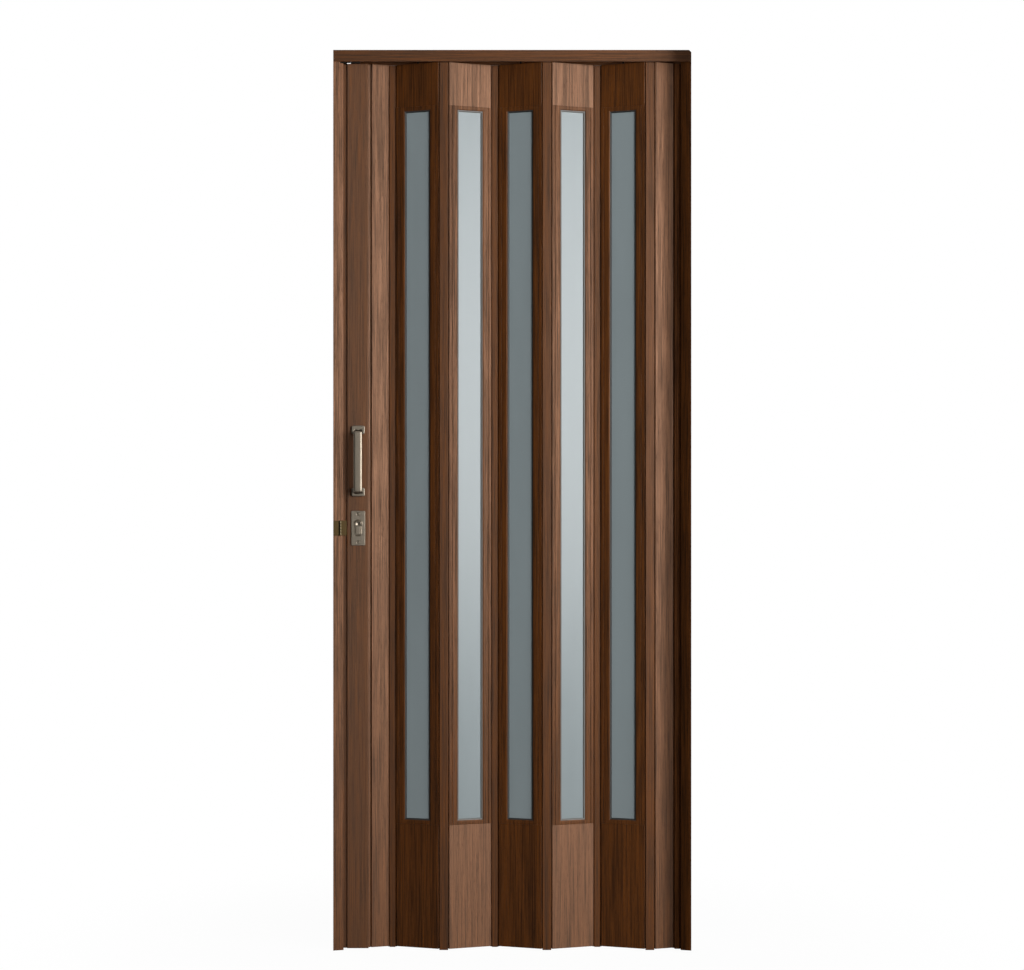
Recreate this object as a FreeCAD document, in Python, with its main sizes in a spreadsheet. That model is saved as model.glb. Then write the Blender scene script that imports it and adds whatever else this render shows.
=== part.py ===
import FreeCAD, Part
import math
import os
import Sketcher

# Folding door: a closed concertina of hollow slats hung between two jambs under a track.
# Millimetres. X runs along the door, Y from its front to its back, Z up.
# The origin is the middle of the track's top face, which is screwed to the lintel.

os.makedirs("parts", exist_ok=True)
document = FreeCAD.newDocument("folding_door")

# Driving sizes: name, value, meaning
SIZES = [
    ("door_width", 815, "outer width over both jambs"),
    ("door_height", 2050, "floor to the top of the track"),
    ("track_depth", 46, "front to back of the track and of the jambs at the wall"),
    ("track_height", 26, "height of the track section"),
    ("track_wall", 2, "wall of the track section"),
    ("rail_drop", 13, "top of the track to the roller rails' running face"),
    ("rail_wall", 2, "thickness of the roller rails"),
    ("track_slot", 12, "slot between the roller rails"),
    ("rail_lip", 2, "height of the lip that keeps the rollers on a rail"),
    ("track_corner", 5, "cut corner at the fixed end of the track"),
    ("track_screw_margin", 47.5, "end of the track to its first screw hole"),
    ("track_hole_radius", 2.25, "screw hole in the track"),
    ("notch_length", 39, "roller entry notch in the track's back wall"),
    ("jamb_width", 23, "width of a jamb's face"),
    ("jamb_wall", 2, "wall of the jamb section"),
    ("jamb_mouth", 33, "front to back of a jamb at its inner edge"),
    ("jamb_throat", 21, "gap between a jamb's lips"),
    ("jamb_screw_margin", 92, "end of a jamb to its first screw hole"),
    ("jamb_hole_radius", 2.5, "screw hole in a jamb"),
    ("fold_angle", 18.4, "turn of each slat away from the door's plane, degrees"),
    ("lock_slat_pitch", 50.4, "bead to bead over the half slat beside the lock stile"),
    ("end_slat_pitch", 54.7, "bead to bead over the half slat beside the fixed jamb"),
    ("post_width", 20, "width of a hinge post"),
    ("post_thickness", 8, "thickness of a hinge post, and of every hinge socket"),
    ("post_edge", 0.6, "cut along a hinge post's corners"),
    ("socket_wall", 1.5, "wall of a hinge socket"),
    ("bead_clearance", 0.3, "radial play of a bead in its socket"),
    ("mouth_low", -22, "where a socket's mouth starts, degrees from the post's plane"),
    ("mouth_high", 80, "where a socket's mouth ends"),
    ("neck_thickness", 1.6, "web between a slat and its bead"),
    ("hinge_gap", 4.8, "centre of a bead to the end of its slat"),
    ("slat_thickness", 11, "thickness of a slat"),
    ("slat_wall", 1.3, "wall of a slat"),
    ("slat_rail", 10.5, "solid edge of a slat"),
    ("slat_edge", 0.8, "cut along a slat's corners"),
    ("slat_top_gap", 1.5, "slat below the track"),
    ("slat_floor_gap", 3.5, "slat above the floor"),
    ("post_top_gap", 2, "post below the track"),
    ("post_floor_gap", 1, "post above the floor"),
    ("window_top", 97.5, "top of a slat to its window frame"),
    ("window_bottom", 281.5, "bottom of a slat to its window frame"),
    ("frame_skin", 1.5, "how deep a window frame's flange lies in the slat"),
    ("frame_proud", 0.4, "how far a window frame stands out of the slat"),
    ("frame_side", 18.3, "face of a window frame's upright"),
    ("frame_rail", 7.5, "face of a window frame's cross rail"),
    ("frame_bevel", 2.4, "width of the bevel round the glass"),
    ("frame_clearance", 0.2, "play round a window frame"),
    ("groove_place", 7, "slat's edge to the groove in a window frame"),
    ("groove_width", 1.4, "width of that groove"),
    ("groove_depth", 1, "depth of that groove"),
    ("glass_thickness", 3, "thickness of a pane"),
    ("glass_play", 0.1, "play between a pane and its frames"),
    ("glass_cover", 5, "how far the frames lap over a pane"),
    ("glass_edge_play", 0.3, "play between a pane's head and foot and the slat"),
    ("bevel_land", 3.3, "upright land between the bevel and the glass"),
    ("stile_width", 49, "face of the lock stile"),
    ("stile_thickness", 26, "thickness of the lock stile"),
    ("stile_wall", 1.8, "wall of the lock stile"),
    ("stile_edge_radius", 1.2, "rounding of the lock stile's corners"),
    ("stile_top_gap", 3.4, "lock stile below the track"),
    ("stile_gap", 8, "strike jamb to the lock stile's face"),
    ("stile_socket_step", 0.5, "lock stile's face to the centre of its hinge socket"),
    ("tongue_thickness", 17, "thickness of the tongue that enters the strike jamb"),
    ("tongue_gap", 6, "end of the tongue to the jamb's web"),
    ("end_thickness", 16, "thickness of the end stile in the jamb's mouth"),
    ("end_wall", 1.8, "wall of the end stile"),
    ("end_socket_place", 36, "wall to the socket of the end stile"),
    ("anchor_width", 8, "width of the end stile's anchor inside the jamb"),
    ("anchor_thickness", 27, "front to back of that anchor"),
    ("anchor_gap", 0.3, "anchor to the jamb's lips"),
    ("lock_height", 961.6, "floor to the middle of the lock plate"),
    ("lock_backset", 25.5, "edge of the lock stile to the axis of the lock and the handles"),
    ("plate_width", 32, "width of a lock plate"),
    ("plate_height", 79, "height of a lock plate"),
    ("plate_thickness", 2.6, "thickness of a lock plate"),
    ("plate_corner", 3, "corner radius of a lock plate"),
    ("plate_edge", 0.8, "cut round a lock plate's face"),
    ("plate_screw_pitch", 64, "distance between a lock plate's screws"),
    ("plate_hole_radius", 2.1, "screw hole of a lock plate"),
    ("plate_countersink", 1.2, "depth of the countersink round that hole"),
    ("rim_width", 2, "raised rim round the cylinder"),
    ("rim_height", 1.6, "height of that rim"),
    ("cylinder_radius", 8.5, "round part of the lock cylinder"),
    ("cylinder_neck", 10, "width of the lock cylinder's lower part"),
    ("cylinder_drop", 20.5, "centre of the round part to the foot of the cylinder"),
    ("cylinder_rise", 10, "middle of the lock plate to the centre of the cylinder"),
    ("cylinder_clearance", 0.3, "play round the lock cylinder"),
    ("cylinder_proud", 1.2, "how far the cylinder stands out of its rim"),
    ("plug_radius", 6.3, "turning plug of the cylinder"),
    ("plug_groove", 0.5, "groove round that plug"),
    ("keyway_height", 7.5, "height of the keyway"),
    ("keyway_width", 1.6, "width of the keyway"),
    ("keyway_depth", 9, "depth of the keyway"),
    ("case_height", 120, "height of the lock case"),
    ("case_thickness", 15, "thickness of the lock case"),
    ("case_clearance", 0.5, "play round the lock case"),
    ("case_back", 14, "axis of the lock to the back of its case"),
    ("forend_height", 150, "height of the lock's forend"),
    ("forend_thickness", 2, "thickness of the lock's forend"),
    ("bolt_height", 24, "height of the lock bolt"),
    ("bolt_thickness", 7, "thickness of the lock bolt"),
    ("bolt_clearance", 0.3, "play round the lock bolt"),
    ("bolt_seat", 18, "how far the bolt reaches into its case"),
    ("bolt_end_gap", 0.5, "end of the bolt to the jamb's web"),
    ("strike_thickness", 2, "thickness of the strike plate"),
    ("strike_clearance", 1, "play of the bolt in the strike plate"),
    ("handle_rise", 153, "middle of the lock plate to the middle of the handle"),
    ("handle_length", 161, "length of a handle over its feet"),
    ("handle_foot_height", 19.5, "height of a handle's foot"),
    ("handle_foot_width", 30.5, "width of a handle's foot"),
    ("handle_foot_depth", 7, "thickness of a handle's foot"),
    ("handle_grip_width", 19, "width of a handle's grip"),
    ("handle_grip_depth", 5, "thickness of a handle's grip"),
    ("handle_reach", 34, "stile's face to the front of the grip"),
    ("handle_foot_corner", 3, "corner radius of a handle's foot"),
    ("handle_foot_edge", 1.5, "cut round the face of a handle's foot"),
    ("handle_grip_edge", 1.2, "cut along a grip's outer corners"),
    ("handle_bow_inset", 13, "end of the handle to its bow"),
    ("handle_bend", 7, "outer bend at the ends of the bow"),
    ("keeper_width", 29, "width of the keeper on the strike jamb"),
    ("keeper_height", 34, "height of the keeper"),
    ("keeper_wall", 1.2, "sheet of the keeper"),
    ("keeper_inset", 1.5, "outer edge of the strike jamb to the keeper"),
    ("keeper_roll_place", 16, "outer edge of the strike jamb to the keeper's rolled bead"),
    ("keeper_roll_radius", 2.2, "radius of that bead"),
    ("roller_radius", 4.5, "radius of a track roller"),
    ("roller_width", 4, "width of a track roller"),
    ("roller_play", 0.3, "play between a roller and its rail"),
    ("roller_spread", 12, "middle of the track to the middle of a roller"),
    ("axle_radius", 1.5, "radius of a roller axle"),
    ("carrier_thickness", 5, "thickness of the carrier between its rollers"),
    ("carrier_length", 18, "length of a carrier"),
    ("stem_radius", 2, "radius of a carrier's stem"),
    ("plug_depth", 20, "how far a carrier's plug goes into its slat"),
    ("plug_clearance", 0.2, "play round a carrier's plug"),
]
SLATS = 5
POSTS = SLATS + 1
CELLS = 3
CARRIED_SLATS = (1, 3, 5)
JAMB_HOLES = 4
TRACK_HOLES = 4
OVERSHOOT = 1  # how far a cut runs on past the solid


class Value:
    """A number together with the expression that gives it in the document."""

    def __init__(self, number, text=None):
        self.number = float(number)
        self.text = text if text is not None else repr(float(number))

    def __add__(self, other):
        other = as_value(other)
        return Value(self.number + other.number, "(%s + %s)" % (self.text, other.text))

    def __radd__(self, other):
        return as_value(other) + self

    def __sub__(self, other):
        other = as_value(other)
        return Value(self.number - other.number, "(%s - %s)" % (self.text, other.text))

    def __rsub__(self, other):
        return as_value(other) - self

    def __mul__(self, other):
        other = as_value(other)
        return Value(self.number * other.number, "(%s * %s)" % (self.text, other.text))

    def __rmul__(self, other):
        return as_value(other) * self

    def __truediv__(self, other):
        other = as_value(other)
        return Value(self.number / other.number, "(%s / %s)" % (self.text, other.text))

    def __neg__(self):
        return Value(-self.number, "(0 - %s)" % self.text)


def as_value(number):
    return number if isinstance(number, Value) else Value(number)


def sine(angle):
    return Value(math.sin(math.radians(angle.number)), "sin(%s)" % angle.text)


def cosine(angle):
    return Value(math.cos(math.radians(angle.number)), "cos(%s)" % angle.text)


# The spreadsheet of driving sizes
sheet = document.addObject("Spreadsheet::Sheet", "Sizes")
for row, (name, number, meaning) in enumerate(SIZES, start=1):
    sheet.set("A%d" % row, name)
    sheet.set("B%d" % row, str(number))
    sheet.set("C%d" % row, meaning)
    sheet.setAlias("B%d" % row, name)
document.recompute()
size = {name: Value(number, "Sizes.%s" % name) for name, number, meaning in SIZES}

# Places that follow from the sizes
places = document.addObject("App::VarSet", "Places")


def place(name, value):
    """Keeps a derived place in the document under a name of its own."""
    value = as_value(value)
    places.addProperty("App::PropertyFloat", name, "Places")
    places.setExpression(name, value.text)
    return Value(value.number, "Places.%s" % name)


def bind(thing, name, value):
    """Ties a property of a feature to the sizes."""
    thing.setExpression(name, as_value(value).text)


def new_body(label):
    body = document.addObject("PartDesign::Body", label)
    body.Label = label
    return body


def put(body, x=0, y=0, z=0, angle=0):
    """Places a body, turned about the vertical."""
    x, y, z, angle = (as_value(number).text for number in (x, y, z, angle))
    body.setExpression("Placement", "placement(vector(%s; %s; %s); rotation(vector(0; 0; 1); %s))"
                       % (x, y, z, angle))


def origin_plane(body, role):
    return [item for item in body.Origin.OriginFeatures if item.Role == role][0]


def new_sketch(body, role="XY_Plane", offset=0):
    """A sketch on one of the body's own planes, moved along the plane's normal."""
    sketch = body.newObject("Sketcher::SketchObject", body.Label + "_sketch")
    sketch.AttachmentSupport = [(origin_plane(body, role), "")]
    sketch.MapMode = "FlatFace"
    bind(sketch, "AttachmentOffset.Base.z", offset)
    return sketch


def lock_point(sketch, curve, point, x, y):
    """Fixes a point of a curve to the origin of the sketch by two bound distances."""
    for kind, value in (("DistanceX", as_value(x)), ("DistanceY", as_value(y))):
        index = sketch.addConstraint(Sketcher.Constraint(kind, -1, 1, curve, point, value.number))
        bind(sketch, "Constraints[%d]" % index, value)


def polygon(sketch, corners):
    """A closed outline of straight lines through the corners."""
    corners = [(as_value(x), as_value(y)) for x, y in corners]
    first = sketch.GeometryCount
    count = len(corners)
    for number in range(count):
        (x1, y1), (x2, y2) = corners[number], corners[(number + 1) % count]
        start = FreeCAD.Vector(x1.number, y1.number, 0)
        end = FreeCAD.Vector(x2.number, y2.number, 0)
        sketch.addGeometry(Part.LineSegment(start, end), False)
    for number in range(count):
        line, following = first + number, first + (number + 1) % count
        sketch.addConstraint(Sketcher.Constraint("Coincident", line, 2, following, 1))
    for number in range(count):
        lock_point(sketch, first + number, 1, *corners[number])


def rectangle(sketch, x1, y1, x2, y2):
    polygon(sketch, [(x1, y1), (x2, y1), (x2, y2), (x1, y2)])


def circle(sketch, x, y, radius):
    x, y, radius = as_value(x), as_value(y), as_value(radius)
    centre = FreeCAD.Vector(x.number, y.number, 0)
    curve = sketch.addGeometry(Part.Circle(centre, FreeCAD.Vector(0, 0, 1), radius.number), False)
    lock_point(sketch, curve, 3, x, y)
    index = sketch.addConstraint(Sketcher.Constraint("Radius", curve, radius.number))
    bind(sketch, "Constraints[%d]" % index, radius)


def pad(body, sketch, length, both=False, backwards=False):
    feature = body.newObject("PartDesign::Pad", body.Label + "_pad")
    feature.Profile = sketch
    bind(feature, "Length", length)
    feature.Midplane = both
    feature.Reversed = backwards
    return feature


def pocket(body, sketch, length=None, both=False, backwards=False):
    """Cuts a sketch out of the body, right through where no length is given."""
    before = volume(body)
    feature = body.newObject("PartDesign::Pocket", body.Label + "_pocket")
    feature.Profile = sketch
    feature.Midplane = both
    feature.Reversed = backwards
    if length is None:
        feature.Type = "ThroughAll"
    else:
        bind(feature, "Length", length)
    if volume(body) > before - 1e-3:
        raise RuntimeError("a pocket of %s cuts nothing" % body.Label)
    return feature


def volume(body):
    document.recompute()
    return body.Shape.Volume


def edges_where(feature, test):
    """Names of the edges of a feature whose ends pass a test."""
    document.recompute()
    names = []
    for number, edge in enumerate(feature.Shape.Edges, start=1):
        if test([vertex.Point for vertex in edge.Vertexes]):
            names.append("Edge%d" % number)
    return names


def round_edges(body, feature, radius, test):
    fillet = body.newObject("PartDesign::Fillet", body.Label + "_fillet")
    fillet.Base = (feature, edges_where(feature, test))
    bind(fillet, "Radius", radius)
    return fillet


def cut_edges(body, feature, width, test):
    chamfer = body.newObject("PartDesign::Chamfer", body.Label + "_chamfer")
    chamfer.Base = (feature, edges_where(feature, test))
    bind(chamfer, "Size", width)
    return chamfer


def lies_at(points, axis, value):
    """Whether all points have this number along an axis."""
    return all(abs(getattr(point, axis) - value) < 1e-4 for point in points)


def runs_along(points, axis):
    """Whether an edge's two ends differ along this axis only."""
    across = [other for other in "xyz" if other != axis]
    return len(points) == 2 and all(lies_at(points, other, getattr(points[0], other)) for other in across)


def cut_rectangle(sketch, x1, y1, x2, y2, cut):
    """A rectangle with its corners cut off."""
    polygon(sketch, [(x1 + cut, y1), (x2 - cut, y1), (x2, y1 + cut), (x2, y2 - cut), (x2 - cut, y2),
                     (x1 + cut, y2), (x1, y2 - cut), (x1, y1 + cut)])


# Heights of the pieces
floor = place("floor", -size["door_height"])
track_bottom = place("track_bottom", -size["track_height"])
slat_top = place("slat_top", track_bottom - size["slat_top_gap"])
slat_bottom = place("slat_bottom", floor + size["slat_floor_gap"])
slat_height = place("slat_height", slat_top - slat_bottom)
post_bottom = place("post_bottom", floor + size["post_floor_gap"])
post_height = place("post_height", track_bottom - size["post_top_gap"] - post_bottom)
stile_height = place("stile_height", track_bottom - size["stile_top_gap"] - slat_bottom)
jamb_height = place("jamb_height", track_bottom - floor)
lock_middle = place("lock_middle", floor + size["lock_height"])
half_width = place("half_width", size["door_width"] / 2)
half_depth = place("half_depth", size["track_depth"] / 2)

# The fold: beads and sockets along the zigzag, from the fixed jamb to the strike jamb
cos_fold = place("cos_fold", cosine(size["fold_angle"]))
sin_fold = place("sin_fold", sine(size["fold_angle"]))
socket_radius = place("socket_radius", size["post_thickness"] / 2)
bore_radius = place("bore_radius", socket_radius - size["socket_wall"])
bead_radius = place("bead_radius", bore_radius - size["bead_clearance"])
bead_place = place("bead_place", size["post_width"] / 2 - socket_radius)
lock_run = place("lock_run", size["lock_slat_pitch"] * cos_fold)
end_run = place("end_run", size["end_slat_pitch"] * cos_fold)
end_bead = place("end_bead", half_width - size["end_socket_place"])
tongue_end = place("tongue_end", size["jamb_wall"] + size["tongue_gap"] - half_width)
stile_left = place("stile_left", size["jamb_width"] + size["stile_gap"] - half_width)
stile_right = place("stile_right", stile_left + size["stile_width"])
stile_middle = place("stile_middle", (stile_left + stile_right) / 2)
lock_axis = place("lock_axis", stile_left + size["lock_backset"])
lock_bead = place("lock_bead", stile_right + size["stile_socket_step"])
folds = place("folds", end_bead - end_run - lock_bead - lock_run)
slat_run = place("slat_run", (folds - 2 * POSTS * bead_place) / SLATS)
slat_pitch = place("slat_pitch", slat_run / cos_fold)
fold_reach = place("fold_reach", slat_pitch * sin_fold / 2)
lock_reach = place("lock_reach", size["lock_slat_pitch"] * sin_fold)
end_reach = place("end_reach", size["end_slat_pitch"] * sin_fold)
post_pitch = place("post_pitch", slat_run + 2 * bead_place)
first_post = place("first_post", lock_bead + lock_run + bead_place)
lock_bead_depth = place("lock_bead_depth", fold_reach - lock_reach)
end_bead_depth = place("end_bead_depth", end_reach - fold_reach)


def spread(count, length, margin):
    """Places of evenly spaced holes along a length, the first and last a margin from its ends."""
    pitch = (length - 2 * margin) / (count - 1)
    return [margin + number * pitch for number in range(count)]


def header_track():
    """Downward channel with two roller rails either side of a slot."""
    body = new_body("header_track")
    wall, rail, lip = size["track_wall"], size["rail_wall"], size["rail_lip"]
    inner = half_depth - wall
    slot = size["track_slot"] / 2
    under = -size["rail_drop"] - rail
    half = [(half_depth, 0), (half_depth, track_bottom), (inner, track_bottom), (inner, under),
            (slot, under), (slot, lip - size["rail_drop"]), (slot + rail, lip - size["rail_drop"]),
            (slot + rail, -size["rail_drop"]), (inner, -size["rail_drop"]), (inner, -wall)]
    mirrored = [(-as_value(y), z) for y, z in reversed(half)]
    sketch = new_sketch(body, "YZ_Plane")
    polygon(sketch, half + mirrored)
    pad(body, sketch, size["door_width"], both=True)
    corner = new_sketch(body, "XZ_Plane")
    cut = size["track_corner"]
    polygon(corner, [(half_width - cut, 0), (half_width, -cut), (half_width + cut, cut)])
    pocket(body, corner, both=True)
    notch = new_sketch(body, "XZ_Plane", -half_depth)
    rectangle(notch, -half_width - OVERSHOOT, track_bottom - OVERSHOOT,
              size["notch_length"] - half_width, -size["rail_drop"] - rail)
    pocket(body, notch, wall, backwards=True)
    holes = new_sketch(body, "XY_Plane")
    for place_x in spread(TRACK_HOLES, 2 * half_width, size["track_screw_margin"]):
        circle(holes, place_x - half_width, 0, size["track_hole_radius"])
    pocket(body, holes, wall)
    put(body)
    return body


def jamb(label, x, angle):
    """Channel with a slanting face on both sides, its mouth towards the door."""
    body = new_body(label)
    wall, width = size["jamb_wall"], size["jamb_width"]
    mouth, throat = size["jamb_mouth"] / 2, size["jamb_throat"] / 2
    half = [(0, half_depth), (width, mouth), (width, throat), (width - wall, throat),
            (width - wall, mouth - wall), (wall, half_depth - wall)]
    mirrored = [(x_place, -as_value(y)) for x_place, y in reversed(half)]
    sketch = new_sketch(body)
    polygon(sketch, half + mirrored)
    pad(body, sketch, jamb_height)
    holes = new_sketch(body, "YZ_Plane")
    for place_z in spread(JAMB_HOLES, jamb_height, size["jamb_screw_margin"]):
        circle(holes, 0, place_z, size["jamb_hole_radius"])
    pocket(body, holes, wall, backwards=True)
    put(body, x, 0, floor, angle)
    return body


def mouth_outline(sketch, x, y, side, rear):
    """Wedge that opens a socket: side is +1 or -1 along X, rear +1 or -1 along Y."""
    reach = 2 * socket_radius
    low, high = size["mouth_low"], size["mouth_high"]
    corners = [(x, y)]
    for angle, factor in ((low, 1), ((low + high) / 2, 2), (high, 1)):
        corners.append((x + side * factor * reach * cosine(angle),
                        y + rear * factor * reach * sine(angle)))
    polygon(sketch, corners)


def hinge_post(label, x, rear):
    """Narrow post with a C-shaped socket along each edge; rear is the side its slats fold to."""
    body = new_body(label)
    web = new_sketch(body)
    half = size["post_width"] / 2
    cut_rectangle(web, -half, -socket_radius, half, socket_radius, size["post_edge"])
    cell = bead_place - bore_radius - size["socket_wall"]
    rectangle(web, -cell, size["socket_wall"] - socket_radius, cell, socket_radius - size["socket_wall"])
    pad(body, web, post_height)
    bores = new_sketch(body)
    mouths = new_sketch(body)
    for side in (-1, 1):
        circle(bores, side * bead_place, 0, bore_radius)
        mouth_outline(mouths, side * bead_place, 0, side, rear)
    pocket(body, bores, backwards=True)
    pocket(body, mouths, backwards=True)
    put(body, x, -rear * fold_reach, post_bottom)
    return body


def slat_blank(body, pitch, height, cells):
    """Hollow slat with a bead on a neck along each edge, its middle at the origin."""
    end = pitch / 2 - size["hinge_gap"]
    half = size["slat_thickness"] / 2
    outline = new_sketch(body)
    cut_rectangle(outline, -end, -half, end, half, size["slat_edge"])
    inner = end - size["slat_rail"]
    cell = (2 * inner - (cells - 1) * size["slat_wall"]) / cells
    for number in range(cells):
        left = number * (cell + size["slat_wall"]) - inner
        rectangle(outline, left, size["slat_wall"] - half, left + cell, half - size["slat_wall"])
    pad(body, outline, height)
    necks = new_sketch(body)
    neck = size["neck_thickness"] / 2
    for side in (-1, 1):
        rectangle(necks, side * (end - OVERSHOOT), -neck, side * pitch / 2, neck)
    pad(body, necks, height)
    beads = new_sketch(body)
    for side in (-1, 1):
        circle(beads, side * pitch / 2, 0, bead_radius)
    pad(body, beads, height)


def window_limits():
    """Foot and head of the window frame in a slat's own height, and the slat's half width."""
    low = size["window_bottom"]
    high = slat_height - size["window_top"]
    return low, high, slat_pitch / 2 - size["hinge_gap"]


def full_slat(label, x, turn):
    """Slat with a window cut through it and a flat seat for the window's frames."""
    body = new_body(label)
    slat_blank(body, slat_pitch, slat_height, CELLS)
    low, high, end = window_limits()
    inset = size["frame_rail"] + size["frame_bevel"] - size["glass_cover"] - size["glass_edge_play"]
    opening = new_sketch(body, "XZ_Plane")
    rectangle(opening, size["slat_rail"] - end, low + inset, end - size["slat_rail"], high - inset)
    pocket(body, opening, both=True)
    half = size["slat_thickness"] / 2
    for side in (-1, 1):
        seat = new_sketch(body, "XZ_Plane", side * half)
        rectangle(seat, -end - OVERSHOOT, low, end + OVERSHOOT, high)
        pocket(body, seat, size["frame_skin"], backwards=side < 0)
    put(body, x, 0, slat_bottom, turn * size["fold_angle"])
    return body


def half_slat(label, x, y, turn, pitch):
    body = new_body(label)
    slat_blank(body, pitch, slat_height, 1)
    put(body, x, y, slat_bottom, turn * size["fold_angle"])
    return body


def window_frame(label, x, turn):
    """Front and back halves of a window frame, each a flanged ring with a bevel to the glass."""
    body = new_body(label)
    body.AllowCompound = True
    low, high, end = window_limits()
    play = size["frame_clearance"]
    low, high = low + play, high - play
    face = size["slat_thickness"] / 2 + size["frame_proud"]
    seat = size["slat_thickness"] / 2 - size["frame_skin"]
    back = size["glass_thickness"] / 2 + size["glass_play"]
    inset = size["frame_rail"] + size["frame_bevel"] - size["glass_cover"] - size["glass_edge_play"]
    light_x = end - size["frame_side"]
    light_z = size["frame_rail"] - play
    bevel = size["frame_bevel"]
    for side in (-1, 1):
        flange = new_sketch(body, "XZ_Plane", side * seat)
        rectangle(flange, -end, low, end, high)
        rectangle(flange, bevel - light_x, low + light_z + bevel, light_x - bevel, high - light_z - bevel)
        pad(body, flange, face - seat, backwards=side < 0)
        ring = new_sketch(body, "XZ_Plane", side * back)
        rectangle(ring, size["slat_rail"] + play - end, low + inset, end - size["slat_rail"] - play,
                  high - inset)
        rectangle(ring, bevel - light_x, low + light_z + bevel, light_x - bevel, high - light_z - bevel)
        pad(body, ring, seat - back, backwards=side < 0)
        wide = new_sketch(body, "XZ_Plane", side * face)
        rectangle(wide, -light_x, low + light_z, light_x, high - light_z)
        narrow = new_sketch(body, "XZ_Plane", side * (back + size["bevel_land"]))
        rectangle(narrow, bevel - light_x, low + light_z + bevel, light_x - bevel,
                  high - light_z - bevel)
        loft = body.newObject("PartDesign::SubtractiveLoft", label + "_bevel")
        loft.Profile = wide
        loft.Sections = [narrow]
        loft.Ruled = True
        groove = new_sketch(body, "XZ_Plane", side * face)
        for hand in (-1, 1):
            middle = hand * (end - size["groove_place"])
            rectangle(groove, middle - size["groove_width"] / 2, low, middle + size["groove_width"] / 2,
                      high)
        pocket(body, groove, size["groove_depth"], backwards=side < 0)
    put(body, x, 0, slat_bottom, turn * size["fold_angle"])
    return body


def glass_pane(label, x, turn):
    body = new_body(label)
    low, high, end = window_limits()
    lap_x = end - size["frame_side"] - size["frame_bevel"] + size["glass_cover"]
    lap_z = size["frame_rail"] + size["frame_bevel"] - size["glass_cover"]
    sketch = new_sketch(body, "XZ_Plane")
    rectangle(sketch, -lap_x, low + lap_z, lap_x, high - lap_z)
    pad(body, sketch, size["glass_thickness"], both=True)
    put(body, x, 0, slat_bottom, turn * size["fold_angle"])
    return body


def socket(body, x, y, side, rear, height):
    """C-shaped hinge socket along one edge of a stile."""
    barrel = new_sketch(body)
    circle(barrel, x, y, socket_radius)
    pad(body, barrel, height)
    bore = new_sketch(body)
    circle(bore, x, y, bore_radius)
    pocket(body, bore, backwards=True)
    mouth = new_sketch(body)
    mouth_outline(mouth, x, y, side, rear)
    pocket(body, mouth, backwards=True)


def cylinder_outline(body, offset, grow, length=None, both=False, backwards=False, cut=False):
    """Pads or cuts the keyhole shape of the lock cylinder, grown by a margin."""
    round_part = new_sketch(body, "XZ_Plane", offset)
    circle(round_part, 0, size["cylinder_rise"], size["cylinder_radius"] + grow)
    neck = new_sketch(body, "XZ_Plane", offset)
    rectangle(neck, -size["cylinder_neck"] / 2 - grow,
              size["cylinder_rise"] - size["cylinder_drop"] - grow,
              size["cylinder_neck"] / 2 + grow, size["cylinder_rise"])
    for sketch in (round_part, neck):
        if cut:
            pocket(body, sketch, length, both, backwards)
        else:
            pad(body, sketch, length, both, backwards)


def lock_stile():
    """Hollow leading stile, with a tongue towards the jamb and a hinge socket towards the slats."""
    body = new_body("lock_stile")
    thick, tongue = size["stile_thickness"] / 2, size["tongue_thickness"] / 2
    wall = size["stile_wall"]
    sketch = new_sketch(body)
    left, right, tip = stile_left - lock_axis, stile_right - lock_axis, tongue_end - lock_axis
    polygon(sketch, [(right, -thick), (right, thick), (left, thick), (left, tongue), (tip, tongue),
                     (tip, -tongue), (left, -tongue), (left, -thick)])
    rectangle(sketch, left + wall, wall - thick, right - wall, thick - wall)
    rectangle(sketch, tip + wall, wall - tongue, left, tongue - wall)
    blank = pad(body, sketch, stile_height)

    def is_corner(points):
        outer = lies_at(points, "y", thick.number) or lies_at(points, "y", -thick.number)
        return runs_along(points, "z") and outer

    round_edges(body, blank, size["stile_edge_radius"], is_corner)
    socket(body, lock_bead - lock_axis, lock_bead_depth, 1, 1, stile_height)
    middle = lock_middle - slat_bottom
    keyhole = new_sketch(body, "XZ_Plane")
    circle(keyhole, 0, middle + size["cylinder_rise"],
           size["cylinder_radius"] + size["cylinder_clearance"])
    pocket(body, keyhole, both=True)
    neck = new_sketch(body, "XZ_Plane")
    grow = size["cylinder_clearance"]
    rectangle(neck, -size["cylinder_neck"] / 2 - grow,
              middle + size["cylinder_rise"] - size["cylinder_drop"] - grow,
              size["cylinder_neck"] / 2 + grow, middle + size["cylinder_rise"])
    pocket(body, neck, both=True)
    slot = new_sketch(body, "YZ_Plane", left + wall)
    half_slot = size["case_thickness"] / 2 + size["case_clearance"]
    reach = size["case_height"] / 2 + size["case_clearance"]
    rectangle(slot, -half_slot, middle - reach, half_slot, middle + reach)
    pocket(body, slot, left + wall - tip)
    put(body, lock_axis, 0, slat_bottom)
    return body


def lock_case():
    """Lock case inside the stile, with the cylinder's hole and the bolt's slot."""
    body = new_body("lock_case")
    tip = tongue_end - lock_axis
    thick, high = size["case_thickness"] / 2, size["case_height"] / 2
    sketch = new_sketch(body, "XZ_Plane")
    rectangle(sketch, tip, -high, size["case_back"], high)
    pad(body, sketch, size["case_thickness"], both=True)
    cylinder_outline(body, 0, size["cylinder_clearance"], None, True, cut=True)
    slot = new_sketch(body, "YZ_Plane", tip)
    play = size["bolt_clearance"]
    rectangle(slot, -size["bolt_thickness"] / 2 - play, -size["bolt_height"] / 2 - play,
              size["bolt_thickness"] / 2 + play, size["bolt_height"] / 2 + play)
    pocket(body, slot, size["bolt_seat"] + play, backwards=True)
    put(body, lock_axis, 0, lock_middle)
    return body


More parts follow.
